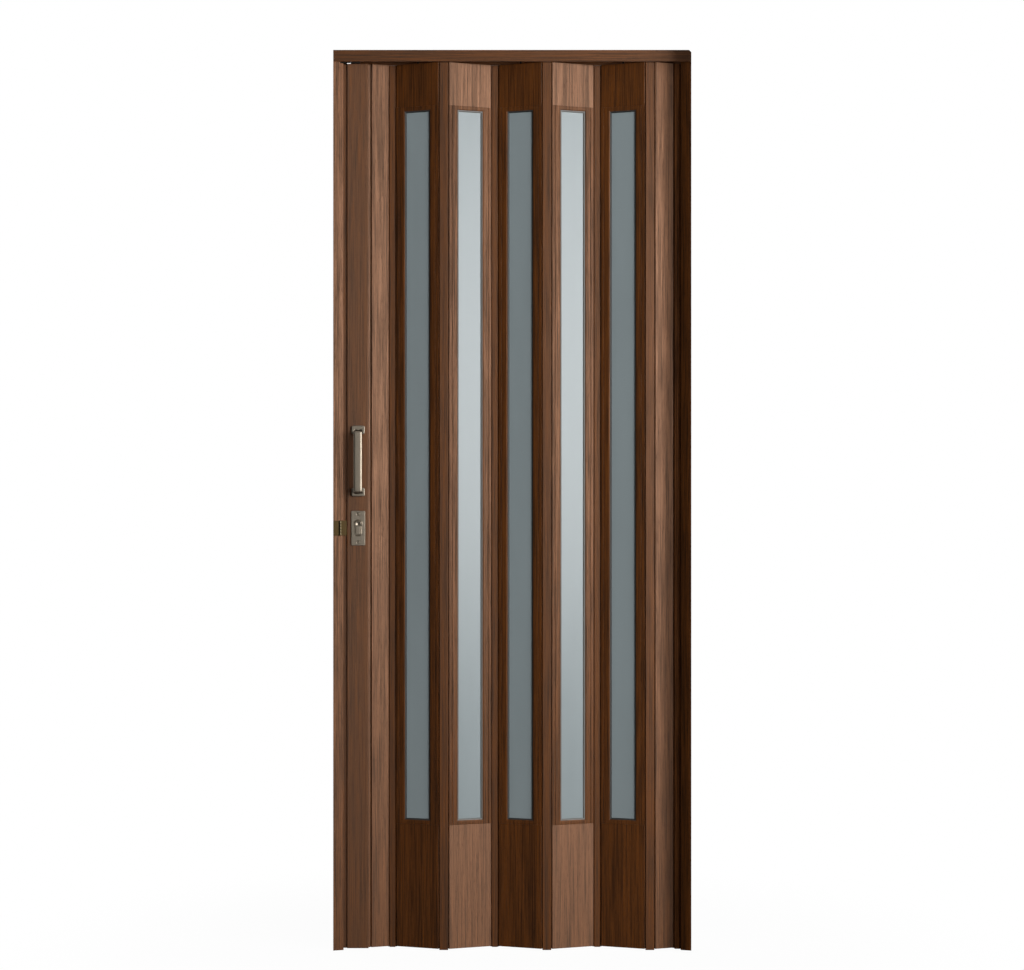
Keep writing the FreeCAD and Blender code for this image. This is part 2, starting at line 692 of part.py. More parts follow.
def lock_forend():
    """Plate on the tongue's edge that the bolt comes out through."""
    body = new_body("lock_forend")
    sketch = new_sketch(body, "YZ_Plane", tongue_end - lock_axis)
    thick, high = size["tongue_thickness"] / 2, size["forend_height"] / 2
    play = size["bolt_clearance"]
    rectangle(sketch, -thick, -high, thick, high)
    rectangle(sketch, -size["bolt_thickness"] / 2 - play, -size["bolt_height"] / 2 - play,
              size["bolt_thickness"] / 2 + play, size["bolt_height"] / 2 + play)
    pad(body, sketch, size["forend_thickness"], backwards=True)
    put(body, lock_axis, 0, lock_middle)
    return body


def lock_bolt():
    body = new_body("lock_bolt")
    sketch = new_sketch(body, "YZ_Plane", tongue_end - lock_axis + size["bolt_seat"])
    thick, high = size["bolt_thickness"] / 2, size["bolt_height"] / 2
    rectangle(sketch, -thick, -high, thick, high)
    pad(body, sketch, size["bolt_seat"] + size["tongue_gap"] - size["bolt_end_gap"], backwards=True)
    put(body, lock_axis, 0, lock_middle)
    return body


def strike_plate():
    """Plate on the strike jamb's web with the slot that takes the bolt."""
    body = new_body("strike_plate")
    sketch = new_sketch(body, "YZ_Plane", size["jamb_wall"] - half_width - lock_axis)
    thick, high = size["tongue_thickness"] / 2, size["forend_height"] / 2
    play = size["strike_clearance"]
    rectangle(sketch, -thick, -high, thick, high)
    rectangle(sketch, -size["bolt_thickness"] / 2 - play, -size["bolt_height"] / 2 - play,
              size["bolt_thickness"] / 2 + play, size["bolt_height"] / 2 + play)
    pad(body, sketch, size["strike_thickness"])
    put(body, lock_axis, 0, lock_middle)
    return body


def lock_cylinder():
    """Keyhole-shaped cylinder through the stile, with a plug and keyway at each end."""
    body = new_body("lock_cylinder")
    reach = (size["stile_thickness"] / 2 + size["plate_thickness"] + size["rim_height"]
             + size["cylinder_proud"])
    cylinder_outline(body, 0, 0, 2 * reach, both=True)
    for side in (-1, 1):
        ring = new_sketch(body, "XZ_Plane", side * reach)
        circle(ring, 0, size["cylinder_rise"], size["plug_radius"] + size["plug_groove"])
        circle(ring, 0, size["cylinder_rise"], size["plug_radius"])
        pocket(body, ring, size["plug_groove"], backwards=side < 0)
        keyway = new_sketch(body, "XZ_Plane", side * reach)
        rectangle(keyway, -size["keyway_width"] / 2, size["cylinder_rise"] - size["keyway_height"] / 2,
                  size["keyway_width"] / 2, size["cylinder_rise"] + size["keyway_height"] / 2)
        pocket(body, keyway, size["keyway_depth"], backwards=side < 0)
    put(body, lock_axis, 0, lock_middle)
    return body


def lock_plate(label, angle):
    """Face plate with a raised rim round the cylinder and two countersunk screw holes."""
    body = new_body(label)
    face = size["stile_thickness"] / 2
    front = face + size["plate_thickness"]
    wide, high = size["plate_width"] / 2, size["plate_height"] / 2
    sketch = new_sketch(body, "XZ_Plane", face)
    rectangle(sketch, -wide, -high, wide, high)
    blank = pad(body, sketch, size["plate_thickness"])
    rounded = round_edges(body, blank, size["plate_corner"], lambda points: runs_along(points, "y"))
    cut_edges(body, rounded, size["plate_edge"], lambda points: lies_at(points, "y", -front.number))
    cylinder_outline(body, front, size["rim_width"], size["rim_height"])
    cylinder_outline(body, 0, size["cylinder_clearance"], None, False, True, cut=True)
    holes = new_sketch(body, "XZ_Plane", face)
    pitch = size["plate_screw_pitch"] / 2
    for side in (-1, 1):
        circle(holes, 0, side * pitch, size["plate_hole_radius"])
    drilled = pocket(body, holes, backwards=True)

    def is_hole_rim(points):
        at_face = lies_at(points, "y", -front.number)
        return at_face and len(points) == 1 and abs(points[0].z) > pitch.number / 2

    cut_edges(body, drilled, size["plate_countersink"], is_hole_rim)
    put(body, lock_axis, 0, lock_middle, angle)
    return body


def pull_handle(label, angle):
    """Bow handle: two feet against the stile and a flat bar bent between them."""
    body = new_body(label)
    face = size["stile_thickness"] / 2
    foot = face + size["handle_foot_depth"]
    reach = face + size["handle_reach"]
    half = size["handle_length"] / 2
    feet = new_sketch(body, "XZ_Plane", face)
    wide = size["handle_foot_width"] / 2
    for side in (-1, 1):
        outer, inner = side * half, side * (half - size["handle_foot_height"])
        low, high = (outer, inner) if side < 0 else (inner, outer)
        rectangle(feet, -wide, low, wide, high)
    body.AllowCompound = True
    blank = pad(body, feet, size["handle_foot_depth"])
    rounded = round_edges(body, blank, size["handle_foot_corner"], lambda points: runs_along(points, "y"))
    cut_edges(body, rounded, size["handle_foot_edge"], lambda points: lies_at(points, "y", -foot.number))
    bow = new_sketch(body, "YZ_Plane")
    end = half - size["handle_bow_inset"]
    bar = size["handle_grip_depth"]
    polygon(bow, [(-foot, -end), (-reach, -end), (-reach, end), (-foot, end), (-foot, end - bar),
                  (bar - reach, end - bar), (bar - reach, bar - end), (-foot, bar - end)])
    grip = pad(body, bow, size["handle_grip_width"], both=True)
    outer = round_edges(body, grip, size["handle_bend"],
                        lambda points: runs_along(points, "x") and lies_at(points, "y", -reach.number))
    inner = round_edges(body, outer, size["handle_bend"] - bar,
                        lambda points: runs_along(points, "x")
                        and lies_at(points, "y", (bar - reach).number))
    side = size["handle_grip_width"] / 2

    def is_grip_edge(points):
        beside = lies_at(points, "x", side.number) or lies_at(points, "x", -side.number)
        return beside and lies_at(points, "y", -reach.number)

    cut_edges(body, inner, size["handle_grip_edge"], is_grip_edge)
    put(body, lock_axis, 0, lock_middle + size["handle_rise"], angle)
    return body


def strike_keeper():
    """Sheet on the slanting face of the strike jamb, with a rolled bead, reaching to the stile."""
    body = new_body("strike_keeper")
    slope = (half_depth - size["jamb_mouth"] / 2) / size["jamb_width"]
    start, stop = size["keeper_inset"], size["keeper_inset"] + size["keeper_width"]
    sheet_wall = size["keeper_wall"]
    sketch = new_sketch(body)
    polygon(sketch, [(start, start * slope - half_depth), (stop, stop * slope - half_depth),
                     (stop, stop * slope - half_depth - sheet_wall),
                     (start, start * slope - half_depth - sheet_wall)])
    pad(body, sketch, size["keeper_height"], both=True)
    roll = new_sketch(body)
    middle = size["keeper_roll_place"]
    circle(roll, middle, middle * slope - half_depth - size["keeper_roll_radius"] - sheet_wall / 2,
           size["keeper_roll_radius"])
    pad(body, roll, size["keeper_height"], both=True)
    put(body, -half_width, 0, lock_middle)
    return body


def end_stile():
    """Last profile, with a hinge socket outside the fixed jamb and an anchor inside it."""
    body = new_body("end_stile")
    thick, wide, wall = size["end_thickness"] / 2, size["anchor_thickness"] / 2, size["end_wall"]
    start = half_width - size["jamb_width"] + size["jamb_wall"] + size["anchor_gap"]
    stop = start + size["anchor_width"]
    sketch = new_sketch(body)
    polygon(sketch, [(end_bead, -thick), (start, -thick), (start, -wide), (stop, -wide), (stop, wide),
                     (start, wide), (start, thick), (end_bead, thick)])
    rectangle(sketch, end_bead + socket_radius, wall - thick, stop - wall, thick - wall)
    pad(body, sketch, post_height)
    socket(body, end_bead, end_bead_depth, -1, -1, post_height)
    put(body, 0, 0, post_bottom)
    return body


def track_carrier(label, x, top, wide, thick, turn):
    """Carrier: a plug in the top of a profile, a stem through the slot and a pair of rollers."""
    body = new_body(label)
    c, s = cos_fold, turn * sin_fold
    if turn == 0:
        c, s = as_value(1), as_value(0)
    plug = new_sketch(body)
    polygon(plug, [(i * wide * c - j * thick * s, i * wide * s + j * thick * c)
                   for i, j in ((-1, -1), (1, -1), (1, 1), (-1, 1))])
    pad(body, plug, size["plug_depth"])
    axle = place(label + "_axle", size["roller_radius"] + size["roller_play"] - size["rail_drop"] - top
                 + size["plug_depth"])
    stem = new_sketch(body)
    circle(stem, 0, 0, size["stem_radius"])
    pad(body, stem, axle)
    block = new_sketch(body, "XZ_Plane")
    long, half = size["carrier_length"] / 2, size["roller_radius"] + size["axle_radius"]
    rectangle(block, -long, axle - half, long, axle + size["roller_radius"])
    pad(body, block, size["carrier_thickness"], both=True)
    pin = new_sketch(body, "XZ_Plane")
    circle(pin, 0, axle, size["axle_radius"])
    pad(body, pin, 2 * size["roller_spread"], both=True)
    for side in (-1, 1):
        wheel = new_sketch(body, "XZ_Plane", side * size["roller_spread"] - size["roller_width"] / 2)
        circle(wheel, 0, axle, size["roller_radius"])
        pad(body, wheel, size["roller_width"])
    put(body, x, 0, top - size["plug_depth"])
    return body


def build():
    """All sub-parts, from the track down and from the strike jamb to the fixed jamb."""
    pieces = [header_track(), jamb("strike_jamb", -half_width, 0), jamb("fixed_jamb", half_width, 180),
              strike_keeper(), strike_plate(), lock_stile(), lock_case(), lock_forend(), lock_bolt(),
              lock_cylinder(), lock_plate("lock_plate_front", 0), lock_plate("lock_plate_rear", 180),
              pull_handle("pull_handle_front", 0), pull_handle("pull_handle_rear", 180),
              half_slat("half_slat_lock", lock_bead + lock_run / 2, lock_bead_depth + lock_reach / 2, 1,
                        size["lock_slat_pitch"]),
              half_slat("half_slat_end", end_bead - end_run / 2, end_bead_depth - end_reach / 2, 1,
                        size["end_slat_pitch"]),
              end_stile()]
    for number in range(1, POSTS + 1):
        rear = -1 if number % 2 else 1
        pieces.append(hinge_post("hinge_post_%d" % number, first_post + (number - 1) * post_pitch, rear))
    cell = (2 * (slat_pitch / 2 - size["hinge_gap"] - size["slat_rail"])
            - (CELLS - 1) * size["slat_wall"]) / CELLS
    for number in range(1, SLATS + 1):
        turn = -1 if number % 2 else 1
        x = first_post + (number - 0.5) * post_pitch
        pieces.append(full_slat("slat_%d" % number, x, turn))
        pieces.append(window_frame("window_frame_%d" % number, x, turn))
        pieces.append(glass_pane("glass_pane_%d" % number, x, turn))
        if number in CARRIED_SLATS:
            play = size["plug_clearance"]
            pieces.append(track_carrier("carrier_slat_%d" % number, x, slat_top, cell / 2 - play,
                                        size["slat_thickness"] / 2 - size["slat_wall"] - play, turn))
    play = size["plug_clearance"]
    wide = size["stile_width"] / 2 - (socket_radius - size["stile_socket_step"]) - play
    thick = size["stile_thickness"] / 2 - size["stile_wall"] - play
    pieces.append(track_carrier("carrier_lock_stile", stile_middle, slat_bottom + stile_height,
                                wide, thick, 0))
    return pieces


def check_and_write(pieces):
    """Stops on any failed object or bad shape, then writes each sub-part."""
    document.recompute()
    for item in document.Objects:
        if "Invalid" in item.State or "Error" in item.State:
            raise RuntimeError("%s did not build" % item.Label)
    for piece in pieces:
        if piece.Shape.isNull() or not piece.Shape.isValid():
            raise RuntimeError("%s has no good shape" % piece.Label)
    for piece in pieces:
        piece.Shape.exportStep("parts/%s.step" % piece.Label)


check_and_write(build())
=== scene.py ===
import math

import bmesh
import bpy
import numpy as np
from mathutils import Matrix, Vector


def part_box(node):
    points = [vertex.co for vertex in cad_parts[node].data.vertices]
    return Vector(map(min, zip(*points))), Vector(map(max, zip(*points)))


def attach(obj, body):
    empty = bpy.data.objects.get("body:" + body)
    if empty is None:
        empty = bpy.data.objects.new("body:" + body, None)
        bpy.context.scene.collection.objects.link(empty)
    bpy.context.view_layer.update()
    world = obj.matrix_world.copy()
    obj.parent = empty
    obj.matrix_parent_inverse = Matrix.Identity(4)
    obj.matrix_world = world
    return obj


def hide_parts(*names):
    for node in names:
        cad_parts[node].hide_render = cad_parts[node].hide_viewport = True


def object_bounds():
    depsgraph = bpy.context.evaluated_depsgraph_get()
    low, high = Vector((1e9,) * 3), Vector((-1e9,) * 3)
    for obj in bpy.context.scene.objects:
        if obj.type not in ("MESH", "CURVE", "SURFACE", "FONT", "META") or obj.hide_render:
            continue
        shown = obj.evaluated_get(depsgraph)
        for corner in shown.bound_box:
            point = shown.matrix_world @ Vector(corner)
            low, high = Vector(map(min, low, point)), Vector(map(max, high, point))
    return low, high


bl_info = {
    "name": "Folding Door",
    "version": (1, 0, 0),
    "blender": (4, 5, 0),
    "location": "3D View > Sidebar > Door",
    "description": "Dresses a closed concertina door with frosted windows, a lock and pull handles",
    "category": "Object",
}

# The door's solids, and the box that they fill before anything is added
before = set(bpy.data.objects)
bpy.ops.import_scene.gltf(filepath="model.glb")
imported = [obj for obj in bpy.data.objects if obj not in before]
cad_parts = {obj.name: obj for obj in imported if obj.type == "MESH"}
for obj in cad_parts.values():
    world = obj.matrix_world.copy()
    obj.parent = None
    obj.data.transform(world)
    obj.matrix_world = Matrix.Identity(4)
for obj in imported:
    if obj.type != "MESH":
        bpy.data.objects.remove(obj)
SOLID_LOW, SOLID_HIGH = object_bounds()

MILLIMETRE = 0.001
IMAGE_WIDTH = 1024
FLOOR_HEIGHT = SOLID_LOW.z
DOOR_MIDDLE = (SOLID_LOW + SOLID_HIGH) / 2
WINDOWS = 5
SIDES = ("front", "rear")

# Powers of the superellipses: the higher, the squarer
FOOT_POWER = 7
GRIP_POWER = 9
BLOCK_POWER = 8


def length(name, description, millimetres):
    """A length property, given in millimetres."""
    return bpy.props.FloatProperty(name=name, description=description, unit="LENGTH", min=0,
                                   default=millimetres * MILLIMETRE)


def factor(name, description, value, highest=1.0):
    """A plain number from 0 up."""
    return bpy.props.FloatProperty(name=name, description=description, default=value, min=0,
                                   max=highest)


def colour(name, description, red, green, blue):
    """A scene linear colour."""
    return bpy.props.FloatVectorProperty(name=name, description=description, subtype="COLOR",
                                         size=3, min=0, max=1, default=(red, green, blue))


def angle(name, description, degrees):
    """An angle property, given in degrees."""
    return bpy.props.FloatProperty(name=name, description=description, subtype="ANGLE",
                                   default=math.radians(degrees), soft_min=-math.pi,
                                   soft_max=math.pi)


class FoilSettings(bpy.types.PropertyGroup):
    """Colours and grain of the walnut foil."""
    light: colour("Light Grain", "Foil between its streaks", 0.128, 0.04, 0.008)
    dark: colour("Dark Grain", "Streaks of the foil", 0.018, 0.005, 0.0007)
    pore: colour("Pores", "Open pores of the grain", 0.014, 0.004, 0.001)
    gloss: colour("Gloss", "Tint of the foil's gloss", 1.0, 0.64, 0.45)
    index: factor("Index", "Refractive index, which sets the strength of the gloss", 1.7, 3)
    swing: factor("Gloss Swing", "How much rougher dark grain is than light grain", 0.24)
    streak_width: length("Streak Width", "Width of a fine streak", 1.9)
    band_width: length("Band Width", "Width of a broad tonal band", 26)
    ring_width: length("Ring Width", "Width of the field that bends the growth rings", 70)
    ring_count: factor("Ring Count", "Growth rings over that field", 9, 40)
    pore_width: length("Pore Width", "Width of a pore", 0.9)
    stretch: factor("Stretch", "How much longer than wide the grain is", 80, 200)
    ring_stretch: factor("Ring Stretch", "Stretch of the rings as a share of the grain's", 1 / 6)
    pore_stretch: factor("Pore Stretch", "Stretch of the pores as a share of the grain's", 0.2)
    streak_weight: factor("Streak Weight", "Contrast of the fine streaks", 3.5, 10)
    band_weight: factor("Band Weight", "Contrast of the broad bands", 0.8, 10)
    ring_weight: factor("Ring Weight", "Contrast of the growth rings", 0.08)
    pore_weight: factor("Pore Weight", "How far a pore takes over the colour", 0.5)
    balance: factor("Balance", "Share of light grain where the print is even", 0.52)
    relief: length("Relief", "Depth of the embossed grain", 0.08)


class PaneSettings(bpy.types.PropertyGroup):
    """Look of the frosted panes."""
    tint: colour("Tint", "Colour of the frosted sheet", 0.292, 0.342, 0.355)
    passing: factor("Passing", "Share of the light that passes a face", 0.35)
    gloss: factor("Roughness", "Roughness of the satin face", 0.3)
    index: factor("Index", "Refractive index, which sets the gloss", 1.52, 3)
    cloud_width: length("Cloud Width", "Width of a faintly lighter patch", 50)
    frost_width: length("Frost Width", "Width of a grain of the frosting", 0.8)
    frost_depth: length("Frost Depth", "Depth of the frosting", 0.01)
    thickness: length("Thickness", "Thickness of a pane", 3)
    lap: length("Lap", "How far the window frames lap over a pane", 5)
    gasket: length("Gasket", "Width of the gasket round a pane", 3.4)
    gasket_root: length("Gasket Root", "How far the gasket reaches under the frame", 0.5)
    # Painted shade: the gasket's grey partly stands for the shade along a pane's edge, and the
    # gaskets of slats 1, 3 and 5, which face away from the light, get the darker copy below.
    gasket_tint: colour("Gasket Tint", "Colour of that gasket", 0.17, 0.16, 0.145)
    painted_shade_gasket: factor("Dark Gasket", "Tone of the gaskets that face away from the light", 0.14)
    fold: angle("Fold", "Turn of a slat out of the door's plane", 18.4)


class HandleSettings(bpy.types.PropertyGroup):
    """Forms of a pull handle, and of the keeper's bead."""
    foot_depth: length("Foot Depth", "Thickness of a foot", 7)
    foot_width: length("Foot Width", "Width of a foot", 30.5)
    foot_height: length("Foot Height", "Height of a foot", 19.5)
    foot_edge: length("Foot Edge", "Rounding round a foot's face", 1.4)
    dish_depth: length("Dish Depth", "Depth of the dish that the grip's leg stands in", 4.5)
    dish_width: length("Dish Width", "Half width of that dish", 10.4)
    dish_height: length("Dish Height", "Half height of that dish", 4.9)
    dish_fall: factor("Dish Fall", "The lower, the steeper the dish's side", 0.4)
    grip_width: length("Grip Width", "Width of the flat grip", 19.4)
    grip_depth: length("Grip Depth", "Thickness of the flat grip", 4.4)
    grip_fall: length("Grip Fall", "How far the grip's face falls towards its edges", 1.5)
    grip_flat: factor("Grip Flat", "Share of the grip's face that stays flat", 0.58)
    grip_inset: length("Grip Inset", "End of the handle to the grip's leg", 10.5)
    grip_drop: length("Grip Drop", "How far the grip sits below the middle of its feet", 2.5)
    bend: length("Bend", "Bend of the grip's middle line", 2.4)
    knuckles: bpy.props.IntProperty(name="Knuckles", description="Knuckles of the keeper's bead",
                                    default=5, min=1)
    knuckle_radius: length("Knuckle Radius", "Radius of that bead", 1.9)
    bead_place: length("Bead Place", "Outer edge of the keeper to that bead", 14.5)


class LockSettings(bpy.types.PropertyGroup):
    """Forms of a lock plate, of its screws and of the keyhole-shaped cylinder in it."""
    plate_depth: length("Plate Depth", "Thickness of the plate", 2.6)
    plate_corner: length("Plate Corner", "Corner radius of the plate", 3)
    plate_edge: length("Plate Edge", "Rounding round the plate's face", 0.9)
    round_radius: length("Round Radius", "Round part of the cylinder", 7.8)
    neck_width: length("Neck Width", "Width of the cylinder's lower part", 12)
    neck_corner: length("Neck Corner", "Corner radius of that part", 3.5)
    drop: length("Drop", "Centre of the round part to the foot of the cylinder", 26.3)
    rise: length("Rise", "Middle of the plate to the centre of the round part", 10)
    rim_width: length("Rim Width", "Raised rim round the cylinder", 1.7)
    rim_height: length("Rim Height", "Height of that rim", 1.2)
    groove: length("Groove", "Depth of the groove between rim and cylinder", 1.8)
    groove_width: length("Groove Width", "Half width of that groove", 0.7)
    proud: length("Proud", "How far the cylinder stands out of its rim", 0.8)
    plug_radius: length("Plug Radius", "Dished plug of the cylinder", 5.6)
    plug_depth: length("Plug Depth", "Depth of that dish", 2.1)
    keyway_width: length("Keyway Width", "Width of the keyway", 1.6)
    keyway_height: length("Keyway Height", "Height of the keyway", 5)
    keyway_depth: length("Keyway Depth", "Depth of the keyway", 1.2)
    body_reach: length("Body Reach", "Middle of the door to the end of the cylinder's body", 15)
    screw_radius: length("Screw Radius", "Head of a plate's screw", 3.2)
    screw_dome: length("Screw Dome", "How far that head is domed", 0.5)
    screw_pitch: length("Screw Pitch", "Distance between a plate's screws", 64)
    screw_sink: length("Screw Sink", "Plate's face to the rim of that head", 0.6)
    screw_seat: length("Screw Seat", "Depth of the seat round that head", 0.9)


class StopSettings(bpy.types.PropertyGroup):
    """Forms of the stop under the track's end: two blocks with a thin bridge between them."""
    inset: length("Inset", "Outer side of the jamb to the first block", 3)
    first: length("First Block", "Width of the block over the jamb", 27.5)
    # Painted shade: the thin bridge, in near-black nylon, stands for the shade under the track's
    # end.
    bridge: length("Bridge", "Width of the bridge", 9)
    second: length("Second Block", "Width of the block over the stile", 21.5)
    depth: length("Depth", "Depth of a block", 22)
    bridge_depth: length("Bridge Depth", "Depth of the bridge", 1.6)
    bridge_height: length("Bridge Height", "How far the bridge hangs below the track", 2.7)
    front: length("Front", "Door's middle plane to the front of the stop", 18.6)
    ease: length("Ease", "Top of the stile to the stop", 0.3)
    lap: length("Lap", "How far the stop reaches into the track", 1.2)


class MetalSettings(bpy.types.PropertyGroup):
    """Colours and brushed lines of the metals, and the colour of the nylon."""
    nickel: colour("Satin Nickel", "Handles, lock plates and cylinder", 0.32, 0.272, 0.212)
    screw: colour("Screw", "Screws of the lock plates", 0.2, 0.17, 0.125)
    bronze: colour("Bronze", "Keeper on the jamb", 0.03, 0.02, 0.0085)
    # The bead is lighter than the keeper's bronze: wear on the knuckles, and partly a painted
    # highlight along the roll.
    bead: colour("Bead", "Knuckled bead of the keeper", 0.13, 0.1, 0.055)
    steel: colour("Zinc", "Lock case, forend, bolt and strike plate", 0.48, 0.48, 0.47)
    nylon: colour("Nylon", "Carriers, rollers and stop", 0.012, 0.008, 0.005)
    brush: length("Brush", "Width of a brushed line", 0.35)
    brush_depth: length("Brush Depth", "Depth of a brushed line", 0.01)
    cloud_width: length("Cloud Width", "Width of an uneven patch", 3)


class StudioSettings(bpy.types.PropertyGroup):
    """Camera, lamps and surroundings."""
    camera_distance: length("Camera Distance", "Camera to the door's middle plane", 4773)
    camera_height: length("Camera Height", "Camera above the floor", 968.7)
    camera_side: length("Camera Side", "Camera to the left of the door's middle", 190)
    centred_plane: length("Centred Plane", "Door's middle plane to the plane shown centred", 8)
    focal_pixels: factor("Focal Pixels", "Focal length in pixels of the picture", 2087, 5000)
    horizon_drop: factor("Horizon Drop", "Horizon below the picture's middle, in pixels", 40, 200)
    key_turn: angle("Key Turn", "Softbox to the right of the door's front", 41)
    key_distance: length("Key Distance", "Softbox to the door", 5000)
    key_width: length("Key Width", "Width of the softbox", 4990)
    key_height: length("Key Height", "Height of the softbox", 2550)
    key_lift: length("Key Lift", "Softbox's middle above the door's middle", 750)
    key_glow: factor("Key Glow", "Brightness of the softbox's face", 8, 50)
    top_turn: angle("Top Turn", "Upper softbox above the level", 60)
    top_distance: length("Top Distance", "Upper softbox to the door", 4000)
    top_size: length("Top Size", "Side of the upper softbox", 2400)
    top_glow: factor("Top Glow", "Brightness of the upper softbox's face", 0.8, 50)
    back_glow: factor("Back Glow", "Brightness of the lamp behind the door", 3, 50)
    fill: factor("Fill", "Brightness of the dark room round the camera", 0.08)
    floor_tone: factor("Floor Tone", "Grey of the floor as it lights the door", 0.3)
    shade: factor("Shade", "How much of the door's shadow the white floor shows", 0.035)
    clear: length("Clear", "How far round the door the floor shows its shadow", 1300)
    reach: length("Reach", "Middle of the floor to its edge", 60000)
    scrim_inset: length("Scrim Inset", "Outer side of the fixed jamb to the scrim's edge", 36)
    scrim_width: length("Scrim Width", "Width of the dark scrim", 46)
    scrim_front: length("Scrim Front", "Door's middle plane to the scrim in front of it", 42)
    scrim_passing: factor("Scrim Passing", "Share of the light that passes the scrim", 0.2)
    scrim_tone: factor("Scrim Tone", "Grey of the scrim", 0.03)
    scrim_rise: length("Scrim Rise", "How far the scrim stands above the door", 100)
    upper_drop: length("Upper Drop", "Door's top to where the scrim's upper part begins", 34)
    upper_blend: length("Upper Blend", "Height of the slope between its two parts", 1)
    upper_inset: length("Upper Inset", "Outer side of the fixed jamb to the upper part", 22.5)
    upper_width: length("Upper Width", "Width of the upper part", 180)
    upper_step: length("Upper Step", "How much further in front the upper part stands", 41)


class DoorSettings(bpy.types.PropertyGroup):
    """Everything that a user of the door would change."""
    foil: bpy.props.PointerProperty(type=FoilSettings)
    pane: bpy.props.PointerProperty(type=PaneSettings)
    handle: bpy.props.PointerProperty(type=HandleSettings)
    lock: bpy.props.PointerProperty(type=LockSettings)
    stop: bpy.props.PointerProperty(type=StopSettings)
    metal: bpy.props.PointerProperty(type=MetalSettings)
    studio: bpy.props.PointerProperty(type=StudioSettings)


class Wire:
    """An output of a node, with arithmetic: each expression adds its Math node."""

    def __init__(self, finish, socket):
        self.finish = finish
        self.socket = socket

    def math(self, operation, *values):
        return self.finish.node("ShaderNodeMath", {"operation": operation},
                                dict(enumerate(values)))

    def __add__(self, other):
        return self.math("ADD", self, other)

    def __radd__(self, other):
        return self.math("ADD", other, self)

    def __sub__(self, other):
        return self.math("SUBTRACT", self, other)

    def __rsub__(self, other):
        return self.math("SUBTRACT", other, self)

    def __mul__(self, other):
        return self.math("MULTIPLY", self, other)

    def clamped(self):
        """The value kept between 0 and 1."""
        return self.math("MINIMUM", self.math("MAXIMUM", self, 0.0), 1.0)


class Finish:
    """A node material, or the world, under construction."""

    def __init__(self, name, owner=None):
        self.owner = owner or bpy.data.materials.new(name)
        self.owner.use_nodes = True
        self.tree = self.owner.node_tree
        self.tree.nodes.clear()

    def node(self, kind, settings=None, inputs=None, output=0):
        """Adds a node: its settings first, then its sockets from values or wires."""
        node = self.tree.nodes.new(kind)
        for name, value in (settings or {}).items():
            setattr(node, name, value)
        for key, value in (inputs or {}).items():
            if isinstance(value, Wire):
                self.tree.links.new(value.socket, node.inputs[key])
            else:
                node.inputs[key].default_value = value
        return Wire(self, node.outputs[output])

    def place(self, scale=(1, 1, 1)):
        """Object coordinates, stretched."""
        spot = self.node("ShaderNodeTexCoord", output="Object")
        return self.node("ShaderNodeMapping", inputs={"Vector": spot, "Scale": scale})

    def noise(self, where, width, detail=2.0, roughness=0.5):
        """Soft random values about a half, with features of a given width."""
        return self.node("ShaderNodeTexNoise", {"noise_dimensions": "3D"},
                         {"Vector": where, "Scale": 1 / width, "Detail": detail,
                          "Roughness": roughness})

    def step(self, value, low, high):
        """Rises smoothly from 0 at low to 1 at high."""
        return self.node("ShaderNodeMapRange", {"interpolation_type": "SMOOTHSTEP"},
                         {"Value": value, "From Min": low, "From Max": high})

    def mix(self, share, first, second):
        """A colour between two colours."""
        return self.node("ShaderNodeMix", {"data_type": "RGBA"}, {0: share, 6: first, 7: second},
                         output=2)

    def mottle(self, share, rgb, spread):
        """A colour that swings about its mean by a small share of it."""
        return self.mix(share, opaque(rgb, 1 - spread), opaque(rgb, 1 + spread))

    def soft_edge(self, radius):
        """A normal that rounds the edges of a solid."""
        return self.node("ShaderNodeBevel", {"samples": 4}, {"Radius": radius})

    def bump(self, height, depth, normal):
        """A normal that shows a height field of a given depth."""
        return self.node("ShaderNodeBump", inputs={"Height": height, "Distance": depth,
                                                   "Normal": normal})

    def surface(self, inputs):
        """Ends the finish with one Principled shader, and returns its material."""
        self.end(self.node("ShaderNodeBsdfPrincipled", inputs=inputs))
        return self.owner

    def end(self, shader, kind="ShaderNodeOutputMaterial"):
        """Ends the finish with any shader."""
        output = self.tree.nodes.new(kind)
        self.tree.links.new(shader.socket, output.inputs["Surface"])


def opaque(rgb, tone=1.0):
    """A colour with its alpha, lighter or darker by a tone."""
    return tuple(channel * tone for channel in rgb) + (1.0,)


def foil_finish(name, foil, grain_axis=2, tone=1.0, roughness=0.46, shine=1.0, edge=0.0005):
    """Printed walnut foil: fine streaks, growth rings, broad bands and open pores, all drawn out
    along the grain axis. Light grain is glossier; pores and streaks are lightly embossed."""
    finish = Finish(name)
    pore_low, pore_high = 0.58, 0.72
    pore_depth, pore_roughness, even_share = 0.8, 0.15, 0.6

    def along(stretch):
        scale = [1.0, 1.0, 1.0]
        scale[grain_axis] = 1 / stretch
        return finish.place(scale)

    grain = along(foil.stretch)
    fine = finish.noise(grain, foil.streak_width, detail=4.0, roughness=0.7)
    broad = finish.noise(grain, foil.band_width)
    field = finish.noise(along(foil.stretch * foil.ring_stretch), foil.ring_width, detail=1.0)
    rings = field.math("SINE", field * (foil.ring_count * math.tau))
    pores = finish.noise(along(foil.stretch * foil.pore_stretch), foil.pore_width, detail=1.0)
    open_pore = finish.step(pores, pore_low, pore_high)
    printed = ((fine - 0.5) * foil.streak_weight + (broad - 0.5) * foil.band_weight
               + rings * foil.ring_weight + foil.balance)
    share = printed.clamped()
    # A tone other than 1 lightens or darkens the whole print; the foil table uses it to paint light
    # on the pieces that face the light and on those in the scrim's shade.
    ground = finish.mix(share, opaque(foil.dark, tone), opaque(foil.light, tone))
    base = finish.mix(open_pore * foil.pore_weight, ground, opaque(foil.pore, tone))
    height = fine - open_pore * pore_depth
    normal = finish.bump(height, foil.relief, finish.soft_edge(edge))
    rough = roughness + (even_share - share) * foil.swing + open_pore * pore_roughness
    return finish.surface({"Base Color": base, "Roughness": rough, "Normal": normal,
                           "IOR": 1 + (foil.index - 1) * shine,
                           "Specular Tint": opaque(foil.gloss)})


